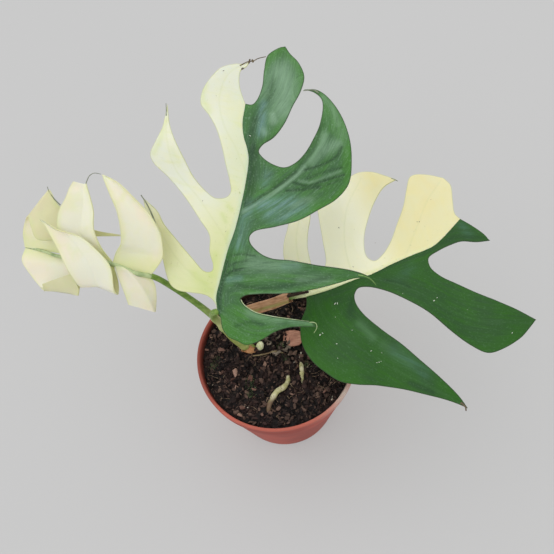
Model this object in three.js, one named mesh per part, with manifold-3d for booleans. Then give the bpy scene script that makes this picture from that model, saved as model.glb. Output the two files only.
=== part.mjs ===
// A young climbing aroid with split leaves, part green and part cream, in a round terracotta-coloured pot.
// Millimetres, +Z up. The origin is the middle of the pot's foot. The leaves reach left, back and right.
import * as THREE from "three";
import { mergeVertices } from "three/addons/utils/BufferGeometryUtils.js";
import Module from "manifold-3d";

const wasm = await Module();
wasm.setup();

// Driving dimensions of the pot and its soil
const POT_RADIUS = 50;
const POT_HEIGHT = 80;
const FOOT_RADIUS = 35;
const POT_WALL = 1.6;
const POT_FLOOR = 2.4;
const BAND_HEIGHT = 6.5;
const BAND_STEP = 2.1;
const DRAIN_RADIUS = 3;
const DRAIN_CIRCLE = 24;
const DRAIN_COUNT = 6;
const SOIL_BELOW_RIM = 6.5;
const SOIL_CRUMB = 1.1;

// Driving dimensions of the plant
const LEAF_THICKNESS = 0.8;
const STEM_RADIUS = 2.9;
const STALK_RADIUS = 1.9;
const SHEATH_THICKNESS = 0.7;
const WAVE_HEIGHT = 1.5;
const RIB_DROP = 0.5;
const GAP = 0.3;

// How finely curved things are cut into facets
const POT_SIDES = 64;
const TUBE_SIDES = 10;
const RIB_SIDES = 8;
const ROOT_SIDES = 7;
const LEAF_CELL = 7.5;
const EDGE_STEP = 3.6;
const MERGE = 1e-4;

const UP = new THREE.Vector3(0, 0, 1);

const vector = ([x, y, z]) => new THREE.Vector3(x, y, z);
const curveThrough = (points) => new THREE.CatmullRomCurve3(points.map(vector));

// A geometry from a list of points and a list of corner triples, with collapsed faces left out
function geometryFrom(points, faces) {
  const loose = new THREE.BufferGeometry();
  const numbers = points.flatMap((p) => [p.x, p.y, p.z]);
  loose.setAttribute("position", new THREE.Float32BufferAttribute(numbers, 3));
  loose.setIndex(faces.flat());
  return withoutSlivers(loose);
}

function withoutSlivers(geometry) {
  const bare = geometry.clone();
  bare.deleteAttribute("normal");
  bare.deleteAttribute("uv");
  const merged = mergeVertices(bare, MERGE);
  const corner = merged.index.array;
  const kept = [];
  for (let i = 0; i < corner.length; i += 3) {
    const [a, b, c] = [corner[i], corner[i + 1], corner[i + 2]];
    if (a !== b && b !== c && c !== a) kept.push(a, b, c);
  }
  merged.setIndex(kept);
  return merged;
}

// A closed geometry as a solid that can be joined and cut, with its faces turned outwards
function solid(geometry) {
  const closed = withoutSlivers(geometry);
  const corners = Uint32Array.from(closed.index.array);
  const build = () =>
    new wasm.Manifold(
      new wasm.Mesh({ numProp: 3, vertProperties: closed.attributes.position.array, triVerts: corners }),
    );
  const made = build();
  if (made.volume() > 0) return made;
  for (let i = 0; i < corners.length; i += 3) {
    [corners[i + 1], corners[i + 2]] = [corners[i + 2], corners[i + 1]];
  }
  return build();
}

// A cut can leave a loose scrap, so only the largest body is kept
const largest = (made) => made.decompose().sort((a, b) => b.volume() - a.volume())[0];

function geometryOf(made) {
  const mesh = made.getMesh();
  const geometry = new THREE.BufferGeometry();
  geometry.setAttribute("position", new THREE.BufferAttribute(mesh.vertProperties, 3));
  geometry.setIndex(new THREE.BufferAttribute(mesh.triVerts, 1));
  geometry.computeVertexNormals();
  return geometry;
}

// A section swept along a path: section(t) gives its corners as [across, lift] pairs round the path
function sweep(path, steps, section, reference = UP) {
  const points = [];
  const faces = [];
  let sides = 0;
  for (let i = 0; i <= steps; i++) {
    const t = i / steps;
    const centre = path.getPointAt(t);
    const along = path.getTangentAt(t);
    const across = along.clone().cross(reference).normalize();
    const lift = across.clone().cross(along);
    const corners = section(t);
    sides = corners.length;
    for (const [x, y] of corners) {
      points.push(centre.clone().addScaledVector(across, x).addScaledVector(lift, y));
    }
  }
  for (let i = 0; i < steps; i++) {
    for (let j = 0; j < sides; j++) {
      const [a, b] = [i * sides + j, i * sides + ((j + 1) % sides)];
      faces.push([a, b, b + sides], [a, b + sides, a + sides]);
    }
  }
  const capOf = (t) => {
    const rim = section(t).map(([x, y]) => new THREE.Vector2(x, y));
    return THREE.ShapeUtils.triangulateShape(rim, []);
  };
  const last = steps * sides;
  for (const [a, b, c] of capOf(0)) faces.push([a, c, b]);
  for (const [a, b, c] of capOf(1)) faces.push([last + a, last + b, last + c]);
  return geometryFrom(points, faces);
}

// A round stalk or root along a line of points, whose radius follows radius(t) from its start to its end
function tube({ line, steps, radius, reference = UP, sides = TUBE_SIDES }) {
  const ring = (t) =>
    Array.from({ length: sides }, (_, k) => {
      const turn = (2 * Math.PI * k) / sides;
      return [radius(t) * Math.cos(turn), radius(t) * Math.sin(turn)];
    });
  return sweep(curveThrough(line), steps, ring, reference);
}

const taper = (from, to) => (t) => THREE.MathUtils.lerp(from, to, t);

// The outline of a leaf half, in millimetres along the midrib and across it, plus being the blade's right.
// It is a ring of smooth stretches that meet in corners: lobe tips, and the ends of the colour line.
function ringOf(stretches) {
  return stretches.flatMap((stretch) => {
    const curve = new THREE.SplineCurve(stretch.map(([u, v]) => new THREE.Vector2(u, v)));
    const steps = Math.max(2, Math.round(curve.getLength() / EDGE_STEP));
    return curve.getSpacedPoints(steps).slice(0, -1);
  });
}

const turnOf = (a, b, c) => (b.x - a.x) * (c.y - a.y) - (b.y - a.y) * (c.x - a.x);

function isInside(p, ring) {
  let inside = false;
  ring.forEach((a, i) => {
    const b = ring[(i + 1) % ring.length];
    const spans = a.y > p.y !== b.y > p.y;
    if (spans && p.x < ((b.x - a.x) * (p.y - a.y)) / (b.y - a.y) + a.x) inside = !inside;
  });
  return inside;
}

// Points inside the outline, on a honeycomb, that keep clear of its edge
function innerPoints(ring, cell) {
  const box = new THREE.Box2().setFromPoints(ring);
  const found = [];
  const rowHeight = cell * Math.sin(Math.PI / 3);
  for (let row = 0, y = box.min.y; y < box.max.y; row++, y += rowHeight) {
    for (let x = box.min.x + (row % 2) * (cell / 2); x < box.max.x; x += cell) {
      const p = new THREE.Vector2(x, y);
      if (isInside(p, ring) && ring.every((q) => q.distanceTo(p) > 0.62 * cell)) found.push(p);
    }
  }
  return found;
}

// Whether d lies inside the circle through a, b and c, which turn left
function isInCircle(a, b, c, d) {
  const [ax, ay, bx, by, cx, cy] = [a.x - d.x, a.y - d.y, b.x - d.x, b.y - d.y, c.x - d.x, c.y - d.y];
  const [aa, bb, cc] = [ax * ax + ay * ay, bx * bx + by * by, cx * cx + cy * cy];
  return aa * (bx * cy - cx * by) - bb * (ax * cy - cx * ay) + cc * (ax * by - bx * ay) > 1e-7;
}

// Turns the shared edges of neighbouring faces until no face is needlessly thin
function evenOut(points, faces) {
  for (let pass = 0; pass < 80; pass++) {
    const owner = new Map();
    const key = (a, b) => a * points.length + b;
    faces.forEach(([a, b, c], i) => {
      for (const [p, q] of [[a, b], [b, c], [c, a]]) owner.set(key(p, q), i);
    });
    const touched = new Set();
    faces.forEach((face, i) => {
      for (let k = 0; k < 3 && !touched.has(i); k++) {
        const [a, b, c] = [face[k], face[(k + 1) % 3], face[(k + 2) % 3]];
        const j = owner.get(key(b, a));
        if (j === undefined || touched.has(j)) continue;
        const d = faces[j].find((p) => p !== a && p !== b);
        const [pa, pb, pc, pd] = [points[a], points[b], points[c], points[d]];
        if (!isInCircle(pa, pb, pc, pd)) continue;
        if (turnOf(pa, pd, pc) <= 0 || turnOf(pd, pb, pc) <= 0) continue;
        faces[i] = [a, d, c];
        faces[j] = [d, b, c];
        touched.add(i).add(j);
      }
    });
    if (!touched.size) return;
  }
}

// The outline filled with even faces that turn left
function fill(outline, cell) {
  const ring = THREE.ShapeUtils.isClockWise(outline) ? outline.slice().reverse() : outline;
  const points = [...ring];
  const faces = THREE.ShapeUtils.triangulateShape(ring, []);
  for (const p of innerPoints(ring, cell)) {
    const hit = faces.findIndex(([a, b, c]) =>
      [[a, b], [b, c], [c, a]].every(([m, n]) => turnOf(points[m], points[n], p) >= 0),
    );
    const [a, b, c] = faces[hit];
    const added = points.push(p) - 1;
    faces.splice(hit, 1, [a, b, added], [b, c, added], [c, a, added]);
  }
  evenOut(points, faces);
  return { points, faces };
}

// A thin sheet of even thickness, both faces split alike: place(x, y) is a point of its middle surface
function sheet({ points, faces }, place, thickness = LEAF_THICKNESS) {
  const small = 0.05;
  const rimOf = new Map();
  const top = [];
  const under = [];
  for (const { x, y } of points) {
    const centre = place(x, y);
    const alongX = place(x + small, y).sub(centre);
    const alongY = place(x, y + small).sub(centre);
    const normal = alongY.cross(alongX).normalize();
    top.push(centre.clone().addScaledVector(normal, thickness / 2));
    under.push(centre.clone().addScaledVector(normal, -thickness / 2));
  }
  const count = points.length;
  const all = [];
  for (const [a, b, c] of faces) {
    all.push([c, b, a], [count + a, count + b, count + c]);
    for (const [p, q] of [[a, b], [b, c], [c, a]]) {
      if (!rimOf.delete(`${q},${p}`)) rimOf.set(`${p},${q}`, [p, q]);
    }
  }
  for (const [p, q] of rimOf.values()) all.push([p, q, count + q], [p, count + q, count + p]);
  return geometryFrom([...top, ...under], all);
}

// The surface of a blade held out from its base point: heading and pitch turn it, roll tips it sideways
function bladeSurface({ base, heading, pitch, roll, length, arch, keel, droop, wave }) {
  const [h, p, r] = [heading, pitch, roll].map(THREE.MathUtils.degToRad);
  const along = new THREE.Vector3(Math.cos(h) * Math.cos(p), Math.sin(h) * Math.cos(p), Math.sin(p));
  const sideways = new THREE.Vector3(Math.sin(h), -Math.cos(h), 0);
  const square = sideways.clone().cross(along);
  const across = sideways.multiplyScalar(Math.cos(r)).addScaledVector(square, Math.sin(r));
  const above = across.clone().cross(along);
  const height = (u, v) => {
    const bow = arch * Math.sin(Math.PI * Math.min(Math.max(u / length, -0.3), 1.2));
    const fold = keel * (Math.sqrt(v * v + 9) - 3);
    const ripple = WAVE_HEIGHT * Math.sin((2 * Math.PI * u) / wave.length + wave.phase(v));
    return bow + fold - droop(u, v) * v * v + ripple * Math.min(Math.abs(v) / 30, 1.5);
  };
  return (u, v) => {
    const level = vector(base).addScaledVector(along, u).addScaledVector(across, v);
    return level.addScaledVector(above, height(u, v));
  };
}

// Points that follow a blade at a depth below its middle surface
function ribPoints(surface, line, below) {
  return line.map(([u, v]) => surface(u, v).addScaledVector(UP, -below).toArray());
}

// Inner radius of the pot's tapered wall at a height
function innerRadius(z) {
  const flare = (POT_RADIUS - BAND_STEP - FOOT_RADIUS) / (POT_HEIGHT - BAND_HEIGHT);
  return FOOT_RADIUS - POT_WALL + flare * z;
}

// Pot: tapered wall, a stepped band under the rim and a ring of drain holes round a solid middle
function makePot() {
  const bandFoot = POT_HEIGHT - BAND_HEIGHT;
  const bodyRadius = POT_RADIUS - BAND_STEP;
  const profile = [
    [0, 0],
    [FOOT_RADIUS - 1.2, 0],
    [FOOT_RADIUS, 1.2],
    [bodyRadius - 0.2, bandFoot - 0.8],
    [POT_RADIUS - 0.8, bandFoot],
    [POT_RADIUS - 0.3, bandFoot + 0.6],
    [POT_RADIUS, POT_HEIGHT - 1],
    [POT_RADIUS - 0.5, POT_HEIGHT - 0.2],
    [POT_RADIUS - 1.2, POT_HEIGHT],
    [POT_RADIUS - 1.9, POT_HEIGHT - 0.4],
    [innerRadius(bandFoot - 0.6), bandFoot - 0.6],
    [innerRadius(POT_FLOOR + 1.4), POT_FLOOR + 1.4],
    [innerRadius(POT_FLOOR) - 1.2, POT_FLOOR],
    [0, POT_FLOOR],
  ];
  const lathe = new THREE.LatheGeometry(profile.map(([r, z]) => new THREE.Vector2(r, z)), POT_SIDES);
  let pot = solid(lathe.rotateX(Math.PI / 2));
  for (let k = 0; k < DRAIN_COUNT; k++) {
    const turn = (2 * Math.PI * k) / DRAIN_COUNT;
    const drill = new THREE.CylinderGeometry(DRAIN_RADIUS, DRAIN_RADIUS, 3 * POT_FLOOR, 16);
    drill.rotateX(Math.PI / 2);
    drill.translate(DRAIN_CIRCLE * Math.cos(turn), DRAIN_CIRCLE * Math.sin(turn), POT_FLOOR / 2);
    pot = pot.subtract(solid(drill));
  }
  return pot;
}

// Height of the soil: a low mound towards the stem with crumbs on it
const SOIL_TOP = POT_HEIGHT - SOIL_BELOW_RIM;
function soilHeight(x, y) {
  const mound = 1.6 * Math.exp(-((x + 10) ** 2 + (y - 6) ** 2) / 500);
  const crumbs = Math.sin(0.71 * x + 1.3) * Math.sin(0.63 * y + 0.4);
  const clods = 0.6 * Math.sin(0.37 * x - 0.52 * y + 2);
  const edge = Math.hypot(x, y) / 46;
  return SOIL_TOP + mound + SOIL_CRUMB * (crumbs + clods) * (1 - 0.5 * edge ** 6) - 1.2 * edge ** 8;
}

// Soil: a plug that follows the inside of the pot, with a crumbled top
function makeSoil() {
  const foot = POT_FLOOR + GAP;
  const wallRadius = (z) => innerRadius(z) - GAP - 0.1;
  const sides = 48;
  const rings = 10;
  const points = [new THREE.Vector3(0, 0, soilHeight(0, 0))];
  const faces = [];
  const at = (ring, k) => 1 + (ring - 1) * sides + (k % sides);
  const rim = wallRadius(SOIL_TOP - 3);
  for (let ring = 1; ring <= rings; ring++) {
    for (let k = 0; k < sides; k++) {
      const turn = (2 * Math.PI * (k + (ring % 2) / 2)) / sides;
      const [x, y] = [(rim * ring * Math.cos(turn)) / rings, (rim * ring * Math.sin(turn)) / rings];
      points.push(new THREE.Vector3(x, y, soilHeight(x, y)));
    }
  }
  for (const z of [foot + 1.6, foot]) {
    const r = z === foot ? wallRadius(z) - 1.2 : wallRadius(z);
    for (let k = 0; k < sides; k++) {
      const turn = (2 * Math.PI * k) / sides;
      points.push(new THREE.Vector3(r * Math.cos(turn), r * Math.sin(turn), z));
    }
  }
  for (let k = 0; k < sides; k++) faces.push([0, at(1, k), at(1, k + 1)]);
  for (let ring = 1; ring < rings + 2; ring++) {
    for (let k = 0; k < sides; k++) {
      const [a, b, c, d] = [at(ring, k), at(ring, k + 1), at(ring + 1, k), at(ring + 1, k + 1)];
      if (ring % 2) faces.push([a, c, d], [a, d, b]);
      else faces.push([a, c, b], [b, c, d]);
    }
  }
  const middle = points.push(new THREE.Vector3(0, 0, foot)) - 1;
  for (let k = 0; k < sides; k++) faces.push([middle, at(rings + 2, k + 1), at(rings + 2, k)]);
  return solid(geometryFrom(points, faces));
}

// Centre leaf: the largest, rising away to the back, cream on its left and green on its right
const centreSurface = bladeSurface({
  base: [-28.3, 9.5, 128],
  heading: 63.4,
  pitch: 26.6,
  roll: -4,
  length: 160,
  arch: 9,
  keel: 0.16,
  droop: (u, v) => (v > 0 ? 0.003 : 0.003 + 0.0028 * Math.exp(-(((u - 38) / 22) ** 2))),
  wave: { length: 46, phase: (v) => (v > 0 ? 0.6 : 2.2) },
});
const CENTRE_COLOUR_LINE = [
  [117, -12.3], [106, -11], [98, -8], [92.5, -4.7], [87, -2.3], [75, -0.7], [58, 0], [46, -0.3],
  [35, -1.6], [17.5, -2.3], [7.5, -2.4], [-0.5, 0],
];
const CENTRE_GREEN = [
  [
    [-0.5, 0], [-3.5, 2.7], [-9, 5], [-12.7, 9.5], [-13.7, 15], [-14.5, 20.5], [-11, 26.5], [-7.5, 30.5],
    [-3, 35], [1.5, 42.5], [4, 50.5], [5.6, 57.2],
  ],
  [
    [5.6, 57.2], [7.3, 53.5], [6, 42], [4.8, 30], [4.8, 21.5], [7.3, 14.3], [9.6, 11.8], [12.2, 13.8],
    [15.5, 22.5], [18.7, 34.5], [24.6, 49.2], [32, 62.7], [37, 71.5], [38, 77], [36.8, 82.5],
  ],
  [
    [36.8, 82.5], [39.6, 77], [40.3, 68], [38.3, 48], [37.5, 34.5], [36, 24], [37.2, 17], [41.2, 10.4],
    [44.5, 9], [48, 11], [53, 22], [59.5, 34], [68, 43], [76.5, 51], [86, 55.3], [98.5, 53.7], [111, 49],
    [123.3, 40.6], [131, 31], [133.2, 24.5], [132, 18],
  ],
  [
    [132, 18], [131.4, 24], [128, 29.2], [115, 31.6], [105.4, 30.7], [96.6, 28.4], [90, 24.4],
    [86.2, 19], [86.5, 12.2], [89.3, 5.2], [92.2, 2.2], [96, 3.4], [101.5, 8.7], [110, 12.3],
    [121.5, 14.2], [131, 16.3], [139.5, 16], [147, 10.7], [152, 4], [156, 0],
  ],
  [
    [156, 0], [154.2, -3.3], [148.2, -8.1], [138.6, -7.5], [129, -5.9], [121, -6.6], [117.5, -8.5],
    [117, -12.3],
  ],
];
const CENTRE_CREAM = [
  [
    [116.8, -12.9], [120.7, -15], [126, -18.1], [131, -19.7], [135.3, -20], [138.3, -17.7],
    [141.8, -16.6],
  ],
  [
    [141.8, -16.6], [139.8, -19.8], [138.1, -25.6], [135, -31], [128, -35.6], [119, -39], [112, -38],
    [106.5, -31.5], [99, -24.3], [90, -18.5], [80, -13.5], [72, -9.4], [66.7, -7.5], [63.3, -9],
    [61.2, -15], [63.5, -21], [70, -30.5], [79, -38.4], [88, -46], [97.5, -52.8], [108.5, -58.5],
  ],
  [
    [108.5, -58.5], [101, -57], [93.5, -55.7], [85.5, -57.2], [77.5, -59.4], [73.5, -57], [66.5, -45.2],
    [57.5, -32.5], [47, -20.5], [40, -13.4], [31, -11.4], [24.5, -8], [21.3, -8], [20, -12], [25.6, -21],
    [34, -33], [40.5, -42], [47, -48.5], [52.6, -60],
  ],
  [
    [52.6, -60], [45, -56], [33, -47], [22, -39.5], [13.5, -34.5], [7.5, -29.5], [5.7, -24], [6.5, -16],
    [7, -8], [4.5, -2.8], [-0.5, -0.5],
  ],
];

// Right leaf: held out level to the right under the centre leaf, cream at the back and green in front
const rightSurface = bladeSurface({
  base: [24.6, 19, 113],
  heading: 8.7,
  pitch: 5,
  roll: 0,
  length: 125,
  arch: 6,
  keel: 0.14,
  droop: (u, v) => (v > 0 ? 0.0034 : 0.0026),
  wave: { length: 44, phase: (v) => (v > 0 ? 0.4 : 2.5) },
});
const RIGHT_COLOUR_LINE = [
  [101, -12], [93, -7], [85, -2.4], [78, 0.5], [64, 1.7], [50.5, 2.9], [40, 4], [27, 2.4], [14, 2.2],
  [-1, -0.3],
];
const RIGHT_GREEN = [
  [
    [-1, -0.3], [-3.5, 7.4], [-9, 14.5], [-12.4, 23], [-13, 30.5], [-11, 39.5], [-6.3, 48.3], [0, 57],
    [8, 62.3], [19.5, 66.5], [31, 72], [43, 80.5], [52, 87], [59, 92.2],
  ],
  [
    [59, 92.2], [57, 86], [51, 74], [44.5, 61.7], [38.3, 49], [31, 36.5], [25.5, 25.5], [23.9, 18],
    [25, 12.5], [28.5, 9.3], [34, 11], [42, 17.7], [52, 30], [59.5, 40], [66.5, 52], [74, 62.7],
    [81, 69.4], [90, 70.3], [100, 68], [108, 63.5], [113.5, 60],
  ],
  [
    [113.5, 60], [106.5, 54], [97.5, 46.8], [89.5, 38.8], [81, 28.4], [74, 19.8], [71.3, 13], [73, 6.8],
    [80, 4.3], [88, 3], [95, 2.8], [103, 6.2], [110.7, 7.5],
  ],
  [[110.7, 7.5], [109.2, 1.5], [105.5, -5.5], [101, -12]],
];
const RIGHT_CREAM = [
  [[100.7, -12.6], [99.7, -16.5], [103, -27], [106.7, -38], [105.3, -45.5]],
  [
    [105.3, -45.5], [98.5, -50.2], [90, -52], [85, -50.5], [79, -41.6], [72.5, -31], [64.5, -21.2],
    [56, -10.9], [49, -5.2], [43.5, -3.4], [40.3, -7.5], [42.5, -18], [51, -32.7], [60, -44.7],
    [68, -51.2], [76.6, -52],
  ],
  [[76.6, -52], [71.5, -60], [66, -68], [59, -72.2], [51, -70], [38, -63.5], [24.5, -54]],
  [
    [24.5, -54], [22.3, -43], [19.7, -29], [16.5, -14.5], [12.2, -9.4], [8.8, -14], [9.5, -28],
    [13.7, -41], [18.4, -51], [21, -60],
  ],
  [
    [21, -60], [14, -63.5], [7.5, -58], [2, -47.5], [-3.5, -37], [-6.1, -28], [-5.5, -16], [-4, -6],
    [-1, -0.8],
  ],
];

// Left leaf: young and strongly curled, all cream. Each lobe is a ribbon between two edges, given from the
// midrib out, and a single last point is its tip. The bow lifts the middle of the ribbon, or the line of a
// sharp crease that runs along it.
const LEFT_MIDRIB = [
  [-61, 30.5, 141.6], [-65, 30.5, 145], [-70, 31, 147.8], [-79, 36, 150.6], [-91, 41, 151.6],
  [-103, 46, 149.8], [-114, 52, 145.8], [-128, 64, 138], [-141, 74, 130.4],
];
const LEFT_LOBES = [
  {
    // broad lobe nearest the stalk, standing up towards the back
    bow: 3,
    edges: [
      [[-81, 37.5, 152], [-62, 30.5, 143]],
      [[-78, 41, 156], [-54, 36, 149]],
      [[-74, 44, 160], [-52, 41, 154]],
      [[-73, 51, 164], [-52, 47, 160]],
      [[-74, 61, 167], [-56, 56, 166]],
      [[-77, 71, 168], [-64, 67, 170]],
      [[-80, 81, 168], [-72, 78, 171]],
      [[-82, 89, 167]],
    ],
  },
  {
    // second lobe standing up beside it
    bow: 3,
    edges: [
      [[-108, 49, 149], [-81, 38, 152]],
      [[-111, 55, 153], [-86, 46, 156]],
      [[-111, 63, 158], [-89, 56, 160]],
      [[-109, 71, 162], [-88, 66, 164]],
      [[-104, 78, 165], [-89, 74, 167]],
      [[-100, 85, 167], [-90, 83, 168]],
      [[-90, 87.5, 168]],
    ],
  },
  {
    // end lobe, rolled up and over so that its underside shows, its tip behind the second lobe
    bow: -2,
    edges: [
      [[-141, 73, 132], [-101, 47, 149]],
      [[-140, 78, 140], [-107, 57, 150.5]],
      [[-135.5, 80, 148], [-118, 80, 156]],
      [[-131, 79, 152], [-117, 92, 158]],
      [[-128, 70, 154], [-112, 82, 156]],
      [[-124, 61, 153], [-108, 78, 154]],
      [[-112, 60, 151], [-100, 70, 152]],
      [[-94, 60.5, 148], [-92, 64, 149]],
      [[-78, 59.5, 146]],
    ],
  },
  {
    // short lobe under the stalk, with its outer margin folded up along a crease that crosses it
    bow: 3.5,
    crease: (s) => 0.12 + 0.76 * s,
    edges: [
      [[-80, 37, 151.5], [-62, 30, 143]],
      [[-79, 30, 150], [-61, 27, 138]],
      [[-77, 22, 146], [-61.5, 21, 134]],
      [[-76, 16, 140], [-63.5, 15, 129]],
    ],
  },
  {
    // large front lobe, folded back up over the midrib
    bow: 2,
    edges: [
      [[-111, 49, 148], [-81, 37, 151]],
      [[-108, 40, 145], [-79.5, 28, 147]],
      [[-101, 30.5, 144], [-80, 21, 145]],
      [[-102, 29.5, 148.5], [-81, 21, 150]],
      [[-106, 37, 155], [-81, 32, 156.5]],
      [[-110, 48, 158], [-88, 43, 159]],
      [[-114, 57, 160], [-97, 53, 160]],
      [[-117, 64, 161], [-108, 58.5, 161]],
      [[-120, 69, 161]],
    ],
  },
  {
    // front lobe near the end, hanging down with its edge turned up
    bow: 2,
    edges: [
      [[-141, 73, 131], [-100, 46, 148.5]],
      [[-144, 66, 128], [-101, 42, 146]],
      [[-139, 56, 125], [-102, 37.5, 142.5]],
      [[-132, 45.5, 124.5], [-105, 28.5, 138.5]],
      [[-129.5, 42.5, 128], [-103, 30, 143.5]],
      [[-128.5, 43.5, 133], [-105.5, 37, 148.5]],
    ],
  },
];

// One lobe of the left leaf: a sheet over a strip whose x runs from the midrib out and y from edge to edge
function lobeGeometry({ edges, bow, crease = () => null }) {
  const tipHalf = 0.5;
  const [stripLength, stripWidth] = [60, 20];
  const [rows, columns] = [2 * edges.length, 5];
  const pairs = edges.map((pair) => pair.map(vector));
  const last = pairs.at(-1);
  if (last.length === 1) {
    const [a, b] = pairs.at(-2);
    const out = b.clone().sub(a).setLength(tipHalf);
    pairs[pairs.length - 1] = [last[0].clone().sub(out), last[0].clone().add(out)];
  }
  const edgeA = new THREE.CatmullRomCurve3(pairs.map(([a]) => a));
  const edgeB = new THREE.CatmullRomCurve3(pairs.map(([, b]) => b));
  const flat = (s, t) => edgeA.getPoint(s).lerp(edgeB.getPoint(s), t);
  const lift = (t, fold) => (fold ? Math.min(t / fold, (1 - t) / (1 - fold)) : 4 * t * (1 - t));
  const place = (x, y) => {
    const step = 0.01;
    const [s, t] = [Math.min(x / stripLength, 1), Math.min(y / stripWidth, 1)];
    const onwards = flat(Math.min(s + step, 1), t).sub(flat(Math.max(s - step, 0), t));
    const over = flat(s, 1).sub(flat(s, 0));
    const narrowing = Math.min(over.length() / stripWidth, 1);
    const normal = over.cross(onwards).normalize();
    return flat(s, t).addScaledVector(normal, -bow * narrowing * lift(t, crease(s)));
  };
  const points = [];
  const faces = [];
  for (let i = 0; i <= rows; i++) {
    for (let j = 0; j <= columns; j++) {
      points.push(new THREE.Vector2((stripLength * i) / rows, (stripWidth * j) / columns));
    }
  }
  for (let i = 0; i < rows; i++) {
    for (let j = 0; j < columns; j++) {
      const a = i * (columns + 1) + j;
      const b = a + columns + 1;
      faces.push([a, b, b + 1], [a, b + 1, a + 1]);
    }
  }
  return sheet({ points, faces }, place);
}

// The room that a stalk needs in what it stands in or passes: a little fatter, and longer at both ends
function room(stalk) {
  const spare = GAP + 0.05;
  const { line, radius } = stalk;
  const beyond = (end, before) => {
    const past = vector(end).sub(vector(before)).setLength(spare);
    return vector(end).add(past).toArray();
  };
  const longer = [beyond(line[0], line[1]), ...line.slice(1, -1), beyond(line.at(-1), line.at(-2))];
  return solid(tube({ ...stalk, line: longer, radius: (t) => radius(t) + spare }));
}

// The vine stem leans left out of the soil, and the three leaf stalks leave it near its top. All grew as one
// piece, swollen at the joints and thinner where a stalk meets its blade.
const SIDEWAYS = new THREE.Vector3(1, 0, 0);
const swelling = (t, at) => 0.7 * Math.exp(-(((t - at) / 0.045) ** 2));
const STEM = {
  line: [
    [-9, 9, 52], [-13, 7, 66], [-15, 6.5, 76], [-19.5, 7.5, 85], [-23.5, 9.5, 93], [-27, 12, 100],
    [-30, 13, 107],
  ],
  steps: 22,
  radius: (t) => STEM_RADIUS + swelling(t, 0.62) + swelling(t, 0.93) - 0.5 * t,
};
const LEFT_STALK = {
  line: [
    [-27, 12, 101], [-34, 18, 108], [-40, 23, 113], [-47, 27.5, 120], [-54, 30.5, 129], [-59, 31, 138],
    [-61, 30.5, 142],
  ],
  steps: 14,
  radius: (t) => STALK_RADIUS + 0.6 * (1 - t) ** 4 - 0.25 * t,
};
const CENTRE_STALK = {
  line: [[-28.5, 12.5, 103], [-32.5, 13.5, 113], [-31.5, 12.3, 121], [-28.3, 9.5, 127.4]],
  steps: 9,
  radius: (t) => STALK_RADIUS + 0.2 * Math.sin(Math.PI * t),
  reference: SIDEWAYS,
};
const RIGHT_STALK = {
  line: [[-27.5, 13, 103], [-19, 18, 102], [-8, 20.5, 103], [3, 21, 105], [14, 21, 109], [24.6, 19.2, 112.6]],
  steps: 14,
  radius: (t) => STALK_RADIUS + 0.5 * (1 - t) ** 4 - 0.35 * t,
};

// The right stalk runs on into its leaf as a pale stripe that lies in the blade
const RIGHT_STRIPE = {
  line: ribPoints(rightSurface, [[-1.5, -0.3], [7, 1.4], [14, 2.2], [21, 2.4], [30, 2.7], [39, 3.9]], 0.1),
  steps: 9,
  radius: taper(1.5, 0.7),
  sides: RIB_SIDES,
};

function makeStem() {
  const parts = [STEM, LEFT_STALK, CENTRE_STALK, RIGHT_STALK, RIGHT_STRIPE];
  return parts.map((part) => solid(tube(part))).reduce((whole, next) => whole.add(next));
}

// A blade half: its ring of stretches filled and laid on the blade's surface
const bladeHalf = (stretches, surface) => solid(sheet(fill(ringOf(stretches), LEAF_CELL), surface));

// The line between the colours, moved to the cream side by the gap and walked from the stalk outwards
const creamSide = (line) => line.map(([u, v]) => [u, v - GAP - 0.1]).reverse();

// The midribs stand out under the blades, and the green half holds the rib
const CENTRE_RIB = {
  line: ribPoints(
    centreSurface,
    [
      [2, -1], [8, -1.6], [20, -1.8], [36, -1.2], [55, 0.4], [75, -0.2], [95, -3.4], [112, -4], [130, 2],
      [150, 1],
    ],
    RIB_DROP,
  ),
  steps: 26,
  radius: taper(1.4, 0.5),
  sides: RIB_SIDES,
};
const RIGHT_RIB = {
  line: ribPoints(rightSurface, [[44, 4.6], [60, 3.2], [78, 2.2], [94, 1], [106, 3]], RIB_DROP),
  steps: 12,
  radius: taper(0.8, 0.5),
  sides: RIB_SIDES,
};

function makeCentreLeaf() {
  const stalk = room(CENTRE_STALK);
  const green = bladeHalf([...CENTRE_GREEN, CENTRE_COLOUR_LINE], centreSurface).add(solid(tube(CENTRE_RIB)));
  const cream = bladeHalf([...CENTRE_CREAM, creamSide(CENTRE_COLOUR_LINE)], centreSurface);
  const creamKept = cream.subtract(room(CENTRE_RIB)).subtract(stalk);
  return { green: largest(green.subtract(stalk)), cream: largest(creamKept) };
}

function makeRightLeaf() {
  const stalk = room(RIGHT_STALK).add(room(RIGHT_STRIPE));
  const green = bladeHalf([...RIGHT_GREEN, RIGHT_COLOUR_LINE], rightSurface).add(solid(tube(RIGHT_RIB)));
  const cream = bladeHalf([...RIGHT_CREAM, creamSide(RIGHT_COLOUR_LINE)], rightSurface);
  return { green: largest(green.subtract(stalk)), cream: largest(cream.subtract(stalk)) };
}

function makeLeftLeaf() {
  const rib = solid(tube({ line: LEFT_MIDRIB, steps: 20, radius: taper(1.8, 0.9), sides: RIB_SIDES }));
  const lobes = LEFT_LOBES.map((lobe) => solid(lobeGeometry(lobe)));
  return lobes.reduce((whole, next) => whole.add(next), rib).subtract(room(LEFT_STALK));
}

// Part of a path, from one share of its length to another
function stretchOf(line, from, to) {
  const curve = curveThrough(line);
  const parts = 8;
  const shareAt = (k) => THREE.MathUtils.lerp(from, to, k / parts);
  return Array.from({ length: parts + 1 }, (_, k) => curve.getPointAt(shareAt(k)).toArray());
}

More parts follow.
